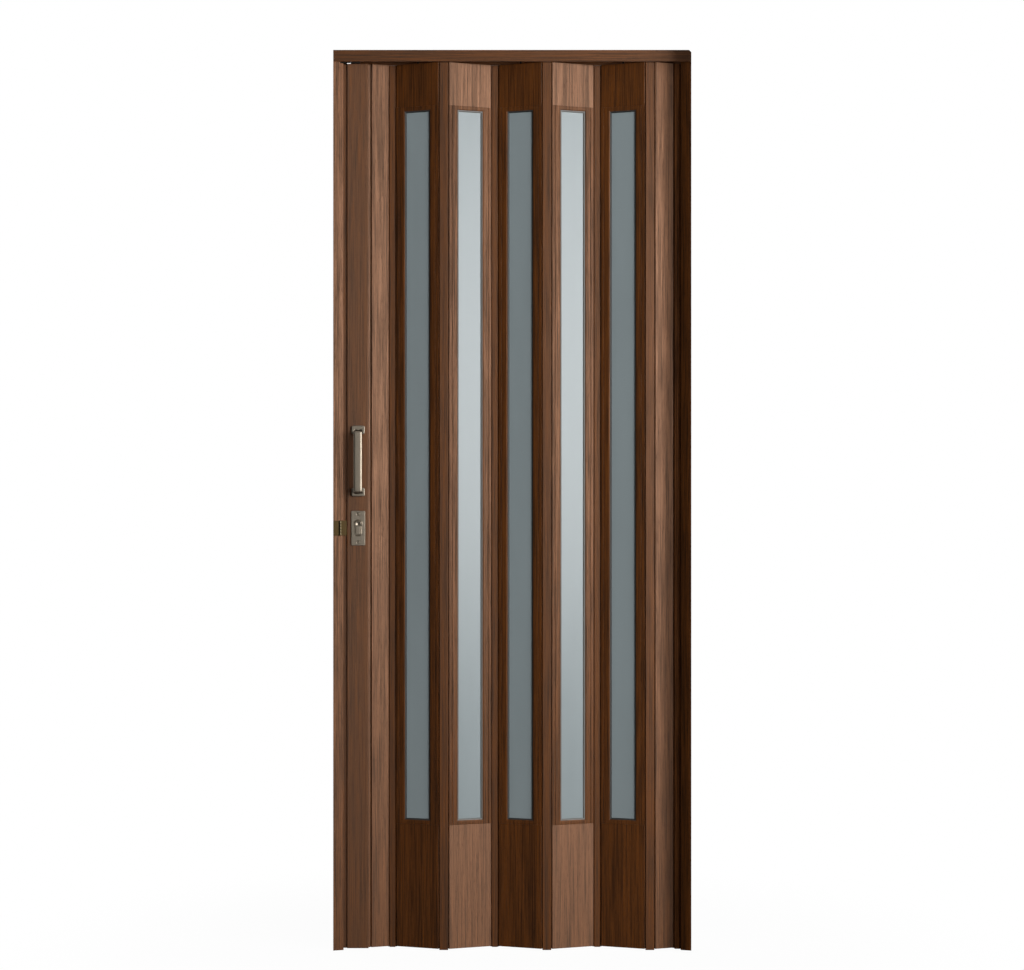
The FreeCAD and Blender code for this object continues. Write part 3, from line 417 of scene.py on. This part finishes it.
def pane_finish(name, pane, edge=0.0003, spread=0.06, swing=0.05):
    """Frosted sheet: part of the light passes it, and its satin face is faintly uneven."""
    finish = Finish(name)
    cloud = finish.noise(finish.place((1, 1, 0.2)), pane.cloud_width)
    frost = finish.noise(finish.place(), pane.frost_width, detail=1.0)
    base = finish.mottle(cloud, pane.tint, spread)
    normal = finish.bump(frost, pane.frost_depth, finish.soft_edge(edge))
    return finish.surface({"Base Color": base, "Roughness": pane.gloss + (cloud - 0.5) * swing,
                           "Normal": normal, "IOR": pane.index,
                           "Transmission Weight": pane.passing})


def gasket_finish(name, rgb, patch=0.004, spread=0.1):
    """Soft grey plastic, faintly mottled."""
    finish = Finish(name)
    cloud = finish.noise(finish.place((1, 1, 0.1)), patch)
    base = finish.mottle(cloud, rgb, spread)
    return finish.surface({"Base Color": base, "Roughness": 0.5 + cloud * 0.1, "IOR": 1.5})


def metal_finish(name, rgb, metal, roughness=0.42, edge=0.0004, spread=0.16):
    """Satin metal brushed along the vertical, a little uneven."""
    finish = Finish(name)
    brushed = finish.noise(finish.place((1, 1, 0.03)), metal.brush)
    uneven = finish.noise(finish.place(), metal.cloud_width, detail=3.0)
    base = finish.mottle(brushed * 0.6 + uneven * 0.4, rgb, spread)
    normal = finish.bump(brushed, metal.brush_depth, finish.soft_edge(edge))
    return finish.surface({"Base Color": base, "Metallic": 1.0, "Normal": normal,
                           "Roughness": roughness + (brushed - 0.5) * 0.2})


def nylon_finish(name, rgb, patch=0.004, relief=0.00002, edge=0.0004):
    """Moulded nylon, faintly mottled."""
    finish = Finish(name)
    cloud = finish.noise(finish.place(), patch, detail=3.0)
    base = finish.mix(cloud, opaque(rgb, 0.92), opaque(rgb, 1.05))
    normal = finish.bump(cloud, relief, finish.soft_edge(edge))
    return finish.surface({"Base Color": base, "Roughness": 0.7 + cloud * 0.1, "IOR": 1.25,
                           "Normal": normal})


def middle_and_half(name):
    """Middle and half size of a solid's box."""
    low, high = np.array(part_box(name))
    return (low + high) / 2, (high - low) / 2


def paint(material, *prefixes):
    """Gives a material to every solid whose name starts with one of the prefixes."""
    found = [solid for name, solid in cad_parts.items() if name.startswith(prefixes)]
    if not found:
        raise RuntimeError("no solid is named %s" % (prefixes,))
    for solid in found:
        solid.data.materials.clear()
        solid.data.materials.append(material)


class DOOR_OT_foil(bpy.types.Operator):
    """Cover the track, jambs, stiles, slats, posts and window frames with walnut foil, in lighter,
    darker or glossier copies that paint light and shade by how each piece is lit
    """
    bl_idname = "door.foil"
    bl_label = "Walnut Foil"

    def execute(self, context):
        foil = context.scene.door.foil
        # Painted light and shade: the pieces that face the light (strike jamb, half slats, slats 2
        # and 4) get lighter copies of the foil, and the slats among them a stronger gloss too;
        # slats 1, 3 and 5, which face away, get a weaker gloss; the fixed jamb and end stile, in
        # the scrim's shade, are painted lighter.
        for name, look, solids in (
            ("walnut_track", {"grain_axis": 0, "shine": 0.9}, ("header_track",)),
            ("walnut_jamb", {"tone": 1.06, "roughness": 0.5, "shine": 0.94}, ("strike_jamb",)),
            ("walnut_jamb_end_painted_light", {"tone": 1.2, "roughness": 0.5, "shine": 0.55}, ("fixed_jamb",)),
            ("walnut_end_stile_painted_light", {"tone": 1.9, "roughness": 0.5, "shine": 0.55}, ("end_stile",)),
            ("walnut_stile", {"roughness": 0.5, "shine": 1.3, "edge": 0.0026}, ("lock_stile",)),
            ("walnut_half_slat", {"tone": 1.08, "roughness": 0.54, "shine": 1.18}, ("half_slat",)),
            ("walnut_slat", {"tone": 1.12, "roughness": 0.57, "shine": 1.48}, ("slat_2", "slat_4")),
            ("shaded_walnut_slat_copy", {"roughness": 0.36, "shine": 0.66}, ("slat_1", "slat_3", "slat_5")),
            ("walnut_post", {"roughness": 0.42, "shine": 0.88, "edge": 0.0014}, ("hinge_post",)),
            ("walnut_frame", {"roughness": 0.4, "shine": 0.66, "edge": 0.0008}, ("window_frame",)),
        ):
            paint(foil_finish(name, foil, **look), *solids)
        return {"FINISHED"}


def gasket_points(pane, middle, half, turn, side):
    """Grid of a quarter-round gasket on one side of a pane, closed both ways: its section's
    distance from the opening's edge and height above the glass, mitred at the four corners,
    then turned about the upright line through the pane's middle."""
    sin, cos = math.sin(turn), math.cos(turn)
    half_wide = (half[0] - pane.thickness / 2 * abs(sin)) / cos
    arc = np.linspace(0, math.pi / 2, 7)
    root = [-pane.gasket_root]
    inward = pane.lap + np.concatenate([root, pane.gasket * np.sin(arc), root])
    rise = np.concatenate([[pane.gasket], pane.gasket * np.cos(arc), [0]]) + pane.thickness / 2
    signs = np.array([(-1, -1), (1, -1), (1, 1), (-1, 1)])
    u = side * signs[:, :1] * (half_wide - inward)
    v = side * np.broadcast_to(-rise, u.shape)
    z = signs[:, 1:] * (half[2] - inward)
    return np.stack([u * cos + v * sin, v * cos - u * sin, z], axis=-1) + middle


class DOOR_OT_panes(bpy.types.Operator):
    """Frost the panes of the five windows and lay a gasket round each, with a darker painted-shade
    copy on the slats that face away from the light
    """
    bl_idname = "door.panes"
    bl_label = "Frosted Panes"

    def execute(self, context):
        pane = context.scene.door.pane
        paint(pane_finish("frosted_pane", pane), "glass_pane")
        # The grey gasket partly stands for the shade along a pane's edge, painted; slats 1, 3 and
        # 5, which face away from the light, get a darker copy as painted shade.
        lit_and_shaded_gaskets = (gasket_finish("grey_gasket", pane.gasket_tint),
                   gasket_finish("painted_shade_gasket", opaque(pane.gasket_tint, pane.painted_shade_gasket)[:3]))
        for number in range(1, WINDOWS + 1):
            turn = pane.fold * (1 if number % 2 else -1)
            middle, half = middle_and_half("glass_pane_%d" % number)
            parts = [ring_mesh("gasket", gasket_points(pane, middle, half, turn, side))
                     for side in (1, -1)]
            new_piece("gasket_%d" % number, join_meshes(parts, smooth=False), lit_and_shaded_gaskets[number % 2],
                      "frosted_pane")
        return {"FINISHED"}


class DOOR_OT_metalwork(bpy.types.Operator):
    """Finish the lock, the keeper and the hidden fittings"""
    bl_idname = "door.metalwork"
    bl_label = "Metalwork"

    def execute(self, context):
        metal = context.scene.door.metal
        paint(metal_finish("dark_bronze", metal.bronze, metal), "strike_keeper")
        paint(metal_finish("zinc_plate", metal.steel, metal), "strike_plate", "lock_case",
              "lock_forend", "lock_bolt")
        paint(nylon_finish("carrier_nylon", metal.nylon), "carrier")
        return {"FINISHED"}


def superellipse(half_wide, half_high, power, count):
    """Closed curve round the origin, as count pairs: each coordinate is the sine or cosine of
    the turn, raised to 2 / power with its sign kept, times its half size."""
    turn = np.linspace(0, math.tau, count, endpoint=False)
    x, y = np.cos(turn), np.sin(turn)
    return np.stack([half_wide * np.sign(x) * np.abs(x) ** (2 / power),
                     half_high * np.sign(y) * np.abs(y) ** (2 / power)], axis=-1)


def placed(side, points, axis_x):
    """Points of a fitting as they are for the front, and for the rear turned half round the
    upright line through axis_x."""
    if side == "front":
        return points
    return points * (-1, -1, 1) + (2 * axis_x, 0, 0)


def foot_points(handle, base, inward):
    """Grid of a handle's foot on its base. Rings of a superellipse run up its side and round its
    edge, then shrink to the middle, where their depth loses an elliptic dish round the grip's
    leg: the dish falls off as a low power of one minus the squared distance from the leg."""
    count, dish_rings, smallest = 72, 40, 0.02
    round_over = np.linspace(0, math.pi / 2, 8)
    inset = np.concatenate([[0], handle.foot_edge * (1 - np.cos(round_over))])
    rise = np.concatenate([[0], handle.foot_depth - handle.foot_edge * (1 - np.sin(round_over))])
    wide, high = handle.foot_width / 2, handle.foot_height / 2
    sides = np.stack([superellipse(wide - step, high - step, FOOT_POWER, count)
                      for step in inset])
    top = sides[-1] * np.linspace(1, smallest, dish_rings)[1:, None, None]
    x, z = np.moveaxis(np.concatenate([sides, top]), -1, 0)
    depth = np.concatenate([rise, np.full(len(top), rise[-1])])[:, None]
    leg_z = inward * (handle.grip_inset + handle.grip_depth / 2 - high) - handle.grip_drop
    away = (x / handle.dish_width) ** 2 + ((z - leg_z) / handle.dish_height) ** 2
    dish = handle.dish_depth * np.clip(1 - away, 0, 1) ** handle.dish_fall
    dish[:len(sides)] = 0
    return np.stack([x, dish - depth, z], axis=-1) + base


def grip_points(handle, middle, half):
    """Grid of the grip: a superellipse section, whose face falls towards its edges with the
    square of the distance from the middle, carried along a path that leaves one foot, bends
    through a quarter circle, runs straight and bends back to the other foot."""
    leg = half[2] - handle.grip_inset - handle.grip_depth / 2
    front = middle[1] - half[1] + handle.grip_depth / 2
    start = middle[1] + half[1] - handle.foot_depth / 2
    bend = np.linspace(0, math.pi / 2, 13)
    straight = np.linspace(handle.bend - leg, leg - handle.bend, 14)[1:-1]
    lower = np.stack([front + handle.bend - handle.bend * np.sin(bend),
                      handle.bend - leg - handle.bend * np.cos(bend)], axis=-1)
    run = np.stack([np.full_like(straight, front), straight], axis=-1)
    upper = lower[::-1] * (1, -1)
    path = np.concatenate([[[start, -leg]], lower, run, upper, [[start, leg]]])
    along = np.gradient(path, axis=0)
    along /= np.linalg.norm(along, axis=1, keepdims=True)
    across = np.stack([along[:, 1], -along[:, 0]], axis=-1)
    section = superellipse(handle.grip_width / 2, handle.grip_depth / 2, GRIP_POWER, 96)
    share = np.abs(section[:, 0]) / (handle.grip_width / 2)
    beyond = np.clip((share - handle.grip_flat) / (1 - handle.grip_flat), 0, 1)
    section[:, 1] += handle.grip_fall * beyond ** 2
    place = path[:, None, :] + section[None, :, 1:] * across[:, None, :]
    x = np.broadcast_to(middle[0] + section[:, 0], place.shape[:2])
    z = middle[2] - handle.grip_drop + place[..., 1]
    return np.stack([x, place[..., 0], z], axis=-1)


class DOOR_OT_handles(bpy.types.Operator):
    """Make the two pull handles: a flat bowed grip on two dished feet"""
    bl_idname = "door.handles"
    bl_label = "Pull Handles"

    def execute(self, context):
        metal, handle = context.scene.door.metal, context.scene.door.handle
        nickel = metal_finish("handle_nickel", metal.nickel, metal)
        middle, half = middle_and_half("pull_handle_front")
        forms = [grip_points(handle, middle, half)]
        for inward in (-1, 1):
            base = middle + (0, half[1], -inward * (half[2] - handle.foot_height / 2))
            forms.append(foot_points(handle, base, inward))
        for side in SIDES:
            parts = [closed_mesh("handle_%s" % side, placed(side, points, middle[0]))
                     for points in forms]
            new_piece("handle_%s_piece" % side, join_meshes(parts), nickel, "nickel",
                      "pull_handle_%s" % side)
        return {"FINISHED"}


def swell(value, low, high):
    """Rises smoothly from 0 at low to 1 at high, and falls where low is above high."""
    share = np.clip((value - low) / (high - low), 0, 1)
    return share * share * (3 - 2 * share)


def lock_relief(lock, u, v):
    """Height of the plate's face at a distance u beside and v above the cylinder's centre. The
    distance d from the keyhole outline is the smaller one of a circle's and a rounded box's;
    the rim, the groove and the cylinder's face are steps and a bell curve of d, and the
    plug's dish falls with the square of the distance from its centre."""
    corner = lock.neck_corner
    rim_foot, rim_top = lock.rim_width * 1.35, lock.rim_width * 0.75
    face_foot, face_top, groove_middle, keyway_slope = -0.0002, -0.0011, 0.0001, 0.0008
    over_u = np.abs(u) - lock.neck_width / 2 + corner
    over_v = np.abs(v + lock.drop / 2) - lock.drop / 2 + corner
    box = np.hypot(np.maximum(over_u, 0), np.maximum(over_v, 0)) + np.minimum(
        np.maximum(over_u, over_v), 0) - corner
    away = np.hypot(u, v)
    distance = np.minimum(away - lock.round_radius, box)
    height = lock.rim_height * swell(distance, rim_foot, rim_top)
    height += lock.proud * swell(distance, face_foot, face_top)
    height -= lock.groove * np.exp(-((distance - groove_middle) / lock.groove_width) ** 2)
    height -= lock.plug_depth * np.clip(1 - (away / lock.plug_radius) ** 2, 0, 1)
    keyway = swell(np.abs(u), lock.keyway_width / 2, lock.keyway_width / 4)
    keyway *= swell(np.abs(v), lock.keyway_height / 2, lock.keyway_height / 2 - keyway_slope)
    return height - lock.keyway_depth * keyway


def plate_points(lock, wide, high):
    """Grid of a lock plate's face as x, height and z about its middle: the rows' width falls in
    the corners along a circle, the height falls along a circle near the edge, and each screw
    sits in a shallow seat with a smooth slope round it."""
    fine = np.array([0, 0.02, 0.1, 0.25, 0.5, 0.75, 1]) * lock.plate_edge
    inner_x = np.linspace(-wide + lock.plate_edge, wide - lock.plate_edge, 96)[1:-1]
    inner_z = np.linspace(-high + lock.plate_edge, high - lock.plate_edge, 240)[1:-1]
    z = np.concatenate([-high + fine, inner_z, (high - fine)[::-1]])
    side = np.concatenate([-wide + fine, inner_x, (wide - fine)[::-1]]) / wide
    corner = lock.plate_corner
    into = np.clip(np.abs(z) - (high - corner), 0, corner)
    half = wide - corner + np.sqrt(corner ** 2 - into ** 2)
    x = side[None, :] * half[:, None]
    z = np.broadcast_to(z[:, None], x.shape)
    edge = np.minimum(half[:, None] - np.abs(x), high - np.abs(z))
    fall = lock.plate_edge - np.clip(edge, 0, lock.plate_edge)
    height = lock.plate_depth - lock.plate_edge + np.sqrt(lock.plate_edge ** 2 - fall ** 2)
    height += lock_relief(lock, x, z - lock.rise)
    away = np.hypot(x, np.abs(z) - lock.screw_pitch / 2)
    height -= lock.screw_seat * swell(away, lock.screw_radius + lock.screw_seat, lock.screw_radius)
    height[0], height[-1], height[:, 0], height[:, -1] = 0, 0, 0, 0
    return np.stack([x, -height, z], axis=-1)


class DOOR_OT_lock(bpy.types.Operator):
    """Make the two lock plates with the faces of the cylinder, their screws, and its body"""
    bl_idname = "door.lock"
    bl_label = "Lock"

    def execute(self, context):
        metal, lock = context.scene.door.metal, context.scene.door.lock
        nickel = metal_finish("lock_nickel", metal.nickel, metal, spread=0.3)
        middle, half = middle_and_half("lock_plate_front")
        base = middle + (0, half[1], 0)
        face = plate_points(lock, half[0], half[2]) + base
        steel = metal_finish("screw_steel", metal.screw, metal, roughness=0.38)
        head_y = lock.screw_sink - lock.plate_depth
        screws = [self.screw(lock) + base + (0, head_y, place * lock.screw_pitch / 2)
                  for place in (-1, 1)]
        for side in SIDES:
            plate = relief_mesh("lock_plate", placed(side, face, middle[0]))
            new_piece("lock_plate_%s_piece" % side, plate, nickel, "nickel",
                      "lock_plate_%s" % side)
            heads = [closed_mesh("screw", placed(side, points, middle[0])) for points in screws]
            new_piece("plate_screws_%s" % side, join_meshes(heads), steel, "nickel")
        outline = superellipse(lock.neck_width / 2, lock.drop / 2, BLOCK_POWER, 48)
        neck_z = middle[2] + lock.rise - lock.drop / 2
        ring = np.insert(outline + (middle[0], neck_z), 1, 0, axis=1)
        reach = np.array([-lock.body_reach, lock.body_reach])[:, None, None] * (0, 1, 0)
        new_piece("lock_cylinder_piece", closed_mesh("lock_cylinder", ring + reach), nickel,
                  "nickel", "lock_cylinder")
        return {"FINISHED"}

    def screw(self, lock):
        """A screw's head is a shallow dome with a cross recess: rings of growing radius, the
        height falling with the square of the radius, less a narrow trough along each diameter."""
        cross_width, cross_depth, cross_reach, rim_depth = 0.14, 0.3, 0.8, 0.25
        share = np.concatenate([np.linspace(0.02, 1, 15), [1.0]])[:, None]
        turn = np.linspace(0, math.tau, 48, endpoint=False)
        x, z = share * np.cos(turn), share * np.sin(turn)
        trough = np.exp(-(np.minimum(np.abs(x), np.abs(z)) / cross_width) ** 4)
        trough *= np.clip(3 * (cross_reach - share), 0, 1)
        height = lock.screw_dome * (1 - share ** 2) - cross_depth * lock.screw_radius * trough
        height[-1] = -rim_depth * lock.screw_radius
        return np.stack([x * lock.screw_radius, -height, z * lock.screw_radius], axis=-1)


class DOOR_OT_track_stops(bpy.types.Operator):
    """Make the dark stop under the track's end, which closes the gap over jamb and stile; its
    near-black nylon partly stands for the shade under the track, as painted shade
    """
    bl_idname = "door.track_stops"
    bl_label = "Track Stops"

    def execute(self, context):
        stop = context.scene.door.stop
        # Near-black nylon: the stop's own colour, and partly painted shade under the track's end,
        # most of all on the thin bridge.
        nylon_and_painted_shade = nylon_finish("stop_nylon", context.scene.door.metal.nylon)
        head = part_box("header_track")[0][2]
        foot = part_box("lock_stile")[1][2] + stop.ease
        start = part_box("strike_jamb")[0][0] + stop.inset
        parts = []
        for wide, deep, bottom in ((stop.first, stop.depth, foot),
                                   (stop.bridge, stop.bridge_depth, head - stop.bridge_height),
                                   (stop.second, stop.depth, foot)):
            outline = superellipse(wide / 2, deep / 2, BLOCK_POWER, 40)
            ring = np.insert(outline + (start + wide / 2, deep / 2 - stop.front), 2, 0, axis=1)
            heights = np.array([bottom, head + stop.lap])[:, None, None]
            parts.append(closed_mesh("stop", ring + heights * (0, 0, 1)))
            start += wide
        new_piece("track_stops", join_meshes(parts, smooth=False), nylon_and_painted_shade, "nylon")
        return {"FINISHED"}


class DOOR_OT_keeper_bead(bpy.types.Operator):
    """Make the keeper's knuckled bead, whose radius dips in a narrow groove between knuckles"""
    bl_idname = "door.keeper_bead"
    bl_label = "Keeper Bead"

    def execute(self, context):
        metal, handle = context.scene.door.metal, context.scene.door.handle
        groove_depth, groove_width, margin, flatness, sunk = 0.25, 0.12, 0.02, 1.5, 0.9
        low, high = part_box("strike_keeper")
        rows = np.linspace(0, 1, 12 * handle.knuckles + 1)[:, None]
        phase = np.abs((rows * handle.knuckles + 0.5) % 1 - 0.5)
        radius = handle.knuckle_radius * (1 - groove_depth * np.exp(-(phase / groove_width) ** 2))
        turn = np.linspace(0, math.tau, 32, endpoint=False)
        height = low[2] + (high[2] - low[2]) * (margin + (1 - 2 * margin) * rows)
        points = np.stack([low[0] + handle.bead_place + flatness * radius * np.cos(turn),
                           low[1] + sunk * handle.knuckle_radius + radius * np.sin(turn),
                           np.broadcast_to(height, (rows.size, turn.size))], axis=-1)
        # A lighter bronze than the keeper's: wear on the knuckles, and partly a painted highlight
        # along the roll.
        bronze = metal_finish("worn_and_highlighted_bead_bronze", metal.bead, metal, roughness=0.36)
        new_piece("keeper_bead", closed_mesh("keeper_bead", points), bronze, "bronze")
        return {"FINISHED"}


def white_where_seen(finish, dim, bright, fade=0.1):
    """Shader that cameras see as white, and glossy and passing rays too where they go behind the
    door; every other ray gets the dim shader."""
    path = finish.tree.nodes.new("ShaderNodeLightPath")
    camera, glossy, passing = (Wire(finish, path.outputs[name]) for name in
                               ("Is Camera Ray", "Is Glossy Ray", "Is Transmission Ray"))
    spot = finish.node("ShaderNodeNewGeometry", output="Position")
    behind = finish.step(finish.node("ShaderNodeSeparateXYZ", inputs={"Vector": spot}, output=1),
                         0.0, fade)
    seen = camera.math("MAXIMUM", camera, (glossy + passing) * behind)
    return finish.node("ShaderNodeMixShader", inputs={0: seen, 1: dim, 2: bright})


def softbox(name, place, target, width, height, glow):
    """A rectangular lamp whose face has a given brightness, turned to a target. Its power is
    the brightness times pi times its area."""
    lamp = bpy.data.lights.new(name, "AREA")
    lamp.shape = "RECTANGLE"
    lamp.size = width
    lamp.size_y = height
    lamp.energy = glow * math.pi * width * height
    box = bpy.data.objects.new(name, lamp)
    box.location = place
    box.rotation_mode = "QUATERNION"
    box.rotation_quaternion = (target - box.location).to_track_quat("-Z", "Y")
    bpy.context.collection.objects.link(box)


def grid_mesh(name, points, caps=False):
    """A mesh over a grid of points, of shape (rows, columns, 3). With caps its columns are
    closed to a ring and its first and last rows are filled."""
    rows, columns = points.shape[:2]
    index = np.arange(rows * columns).reshape(rows, columns)
    if caps:
        index = np.concatenate([index, index[:, :1]], axis=1)
    faces = np.stack([index[:-1, :-1], index[1:, :-1], index[1:, 1:], index[:-1, 1:]], axis=-1)
    polygons = faces.reshape(-1, 4).tolist()
    if caps:
        polygons += [index[0, :-1].tolist(), index[-1, :-1][::-1].tolist()]
    mesh = bpy.data.meshes.new(name)
    mesh.from_pydata(points.reshape(-1, 3), [], polygons)
    mesh.shade_smooth()
    return mesh


def relief_mesh(name, points):
    """A closed mesh of a face that looks along -Y and is given as rows of points, its back one
    flat polygon."""
    rows, columns = points.shape[:2]
    mesh = grid_mesh(name, points)
    index = np.arange(rows * columns).reshape(rows, columns)
    rim = np.concatenate([index[0, :-1], index[:-1, -1], index[-1, :0:-1], index[:0:-1, 0]])
    closed = bmesh.new()
    closed.from_mesh(mesh)
    closed.verts.ensure_lookup_table()
    closed.faces.new([closed.verts[corner] for corner in rim])
    bmesh.ops.recalc_face_normals(closed, faces=closed.faces)
    closed.to_mesh(mesh)
    closed.free()
    mesh.shade_smooth()
    return mesh


def closed_mesh(name, points):
    """A closed mesh over rings of points, turned so that its volume is positive: the sum over
    its quads of the corner's product with the cross product of the two diagonals."""
    nexts = np.roll(points, -1, axis=1)
    across = np.cross(points[1:] - nexts[:-1], nexts[1:] - points[:-1])
    centre = points.reshape(-1, 3).mean(axis=0)
    if np.sum((points[:-1] - centre) * across) < 0:
        points = points[::-1]
    return grid_mesh(name, points, caps=True)


def ring_mesh(name, points):
    """A mesh over a grid of points that is closed both ways, its faces outward."""
    points = np.concatenate([points, points[:1]])
    points = np.concatenate([points, points[:, :1]], axis=1)
    ring = bmesh.new()
    mesh = grid_mesh(name, points)
    ring.from_mesh(mesh)
    bmesh.ops.remove_doubles(ring, verts=ring.verts, dist=0.000001)
    bmesh.ops.recalc_face_normals(ring, faces=ring.faces)
    ring.to_mesh(mesh)
    ring.free()
    return mesh


def join_meshes(meshes, smooth=True):
    """One mesh that holds all the given ones."""
    joined = bmesh.new()
    for mesh in meshes:
        joined.from_mesh(mesh)
    mesh = bpy.data.meshes.new(meshes[0].name)
    joined.to_mesh(mesh)
    joined.free()
    if smooth:
        mesh.shade_smooth()
    else:
        mesh.shade_flat()
    return mesh


def new_piece(name, mesh, material, slot, *nodes):
    """Adds a finished piece to the door, in the place of the named solids if any."""
    piece = bpy.data.objects.new(name, mesh)
    bpy.context.collection.objects.link(piece)
    mesh.materials.append(material)
    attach(piece, "root")
    if nodes:
        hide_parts(*nodes)


class DOOR_OT_studio(bpy.types.Operator):
    """Set up the white floor, the lamps, the surroundings and the camera"""
    bl_idname = "door.studio"
    bl_label = "Studio"

    def execute(self, context):
        studio = context.scene.door.studio
        self.surroundings(context, studio)
        self.floor(context, studio)
        self.scrim(context, studio)
        self.lamps(studio)
        self.camera(context, studio)
        context.scene.view_settings.view_transform = "Standard"
        return {"FINISHED"}

    def surroundings(self, context, studio):
        """A dark room round the camera, white behind the door."""
        world = bpy.data.worlds.new("studio")
        context.scene.world = world
        finish = Finish("studio", world)
        dim, bright = (finish.node("ShaderNodeBackground",
                                   inputs={"Color": (1, 1, 1, 1), "Strength": strength})
                       for strength in (studio.fill, 1.0))
        finish.end(white_where_seen(finish, dim, bright), "ShaderNodeOutputWorld")

    def floor(self, context, studio):
        """A wide level floor. The camera sees it white, with a faint shadow of the door that
        fades out all round it."""
        finish = Finish("pale_floor")
        spot = finish.place()
        speckle = finish.noise(spot, 0.02)
        grey = finish.mottle(speckle, (studio.floor_tone,) * 3, 0.03)
        dim = finish.node("ShaderNodeBsdfDiffuse", inputs={"Color": grey})
        away = finish.node("ShaderNodeVectorMath", {"operation": "DISTANCE"},
                           {0: spot, 1: (DOOR_MIDDLE.x, DOOR_MIDDLE.y, FLOOR_HEIGHT)}, output=1)
        white = finish.node("ShaderNodeEmission", inputs={"Strength": 1.0})
        glow = finish.node("ShaderNodeEmission", inputs={"Strength": 1 - studio.shade})
        dull = opaque((studio.shade,) * 3)
        catcher = finish.node("ShaderNodeBsdfDiffuse", inputs={"Color": dull})
        near = finish.node("ShaderNodeAddShader", inputs={0: glow, 1: catcher})
        fade = finish.step(away, studio.clear * 0.4, studio.clear)
        bright = finish.node("ShaderNodeMixShader", inputs={0: fade, 1: near, 2: white})
        finish.end(white_where_seen(finish, dim, bright))
        level = np.linspace(-studio.reach, studio.reach, 7)
        x, y = np.meshgrid(level, level, indexing="ij")
        points = np.stack([x, y, np.full_like(x, FLOOR_HEIGHT)], axis=-1)
        floor = bpy.data.objects.new("floor", grid_mesh("floor", points))
        floor.data.materials.append(finish.owner)
        context.collection.objects.link(floor)

    def scrim(self, context, studio):
        """A dark upright scrim in front of the fixed jamb, wider before the track. It shades the
        door's end as the side of the opening would, and the camera doesn't see it."""
        finish = Finish("dark_scrim")
        grey = opaque((studio.scrim_tone,) * 3)
        cloth = finish.node("ShaderNodeBsdfDiffuse", inputs={"Color": grey})
        gaps = finish.node("ShaderNodeBsdfTransparent")
        finish.end(finish.node("ShaderNodeMixShader",
                               inputs={0: studio.scrim_passing, 1: cloth, 2: gaps}))
        lower = (studio.scrim_inset, studio.scrim_width, studio.scrim_front)
        upper = (studio.upper_inset, studio.upper_width, studio.scrim_front + studio.upper_step)
        change = SOLID_HIGH.z - studio.upper_drop
        points = []
        for z, (inset, width, front) in ((FLOOR_HEIGHT, lower), (change, lower),
                                         (change + studio.upper_blend, upper),
                                         (SOLID_HIGH.z + studio.scrim_rise, upper)):
            left = SOLID_HIGH.x - inset
            points.append([(left, -front, z), (left + width, -front, z)])
        scrim = bpy.data.objects.new("side_scrim", grid_mesh("side_scrim", np.array(points)))
        scrim.data.materials.append(finish.owner)
        scrim.visible_camera = False
        context.collection.objects.link(scrim)

    def lamps(self, studio):
        """Two softboxes in front of the door and one behind it."""
        turn, rise = studio.key_turn, studio.top_turn
        lifted = DOOR_MIDDLE + Vector((0, 0, studio.key_lift))
        key = Vector((math.sin(turn), -math.cos(turn), 0)) * studio.key_distance
        top = Vector((0, -math.cos(rise), math.sin(rise))) * studio.top_distance
        wide, high, side = studio.key_width, studio.key_height, studio.top_size
        softbox("key_softbox", lifted + key, lifted, wide, high, studio.key_glow)
        softbox("top_softbox", DOOR_MIDDLE + top, DOOR_MIDDLE, side, side, studio.top_glow)
        softbox("back_softbox", lifted - key, lifted, wide, high, studio.back_glow)

    def camera(self, context, studio):
        """A level camera, shifted so that the picture's middle shows the door's middle."""
        lens = bpy.data.cameras.new("camera")
        lens.lens = lens.sensor_width * studio.focal_pixels / IMAGE_WIDTH
        front = studio.camera_distance - studio.centred_plane
        lens.shift_x = studio.camera_side / front * studio.focal_pixels / IMAGE_WIDTH
        lens.shift_y = studio.horizon_drop / IMAGE_WIDTH
        lens.clip_end = 200
        camera = bpy.data.objects.new("camera", lens)
        camera.location = (DOOR_MIDDLE.x - studio.camera_side, -studio.camera_distance,
                           FLOOR_HEIGHT + studio.camera_height)
        camera.rotation_euler = (math.pi / 2, 0, 0)
        context.collection.objects.link(camera)
        context.scene.camera = camera


class DOOR_PT_door(bpy.types.Panel):
    """Lists the door's pieces and their settings"""
    bl_idname = "DOOR_PT_door"
    bl_label = "Folding Door"
    bl_space_type = "VIEW_3D"
    bl_region_type = "UI"
    bl_category = "Door"

    def draw(self, context):
        door = context.scene.door
        for operators, settings in (
            (("door.foil",), door.foil),
            (("door.panes",), door.pane),
            (("door.metalwork",), door.metal),
            (("door.handles", "door.keeper_bead"), door.handle),
            (("door.lock",), door.lock),
            (("door.track_stops",), door.stop),
            (("door.studio",), door.studio),
        ):
            box = self.layout.box()
            for operator in operators:
                box.operator(operator)
            for name in settings.__annotations__:
                box.prop(settings, name)


CLASSES = (FoilSettings, PaneSettings, HandleSettings, LockSettings, StopSettings, MetalSettings,
           StudioSettings, DoorSettings, DOOR_OT_foil, DOOR_OT_panes, DOOR_OT_metalwork,
           DOOR_OT_handles, DOOR_OT_lock, DOOR_OT_track_stops, DOOR_OT_keeper_bead,
           DOOR_OT_studio, DOOR_PT_door)


def register():
    for item in CLASSES:
        bpy.utils.register_class(item)
    bpy.types.Scene.door = bpy.props.PointerProperty(type=DoorSettings)


def unregister():
    del bpy.types.Scene.door
    for item in reversed(CLASSES):
        bpy.utils.unregister_class(item)


def main():
    """Makes every piece in order."""
    register()
    bpy.ops.door.foil()
    bpy.ops.door.panes()
    bpy.ops.door.metalwork()
    bpy.ops.door.handles()
    bpy.ops.door.lock()
    bpy.ops.door.keeper_bead()
    bpy.ops.door.track_stops()
    bpy.ops.door.studio()


if __name__ == "__main__":
    main()
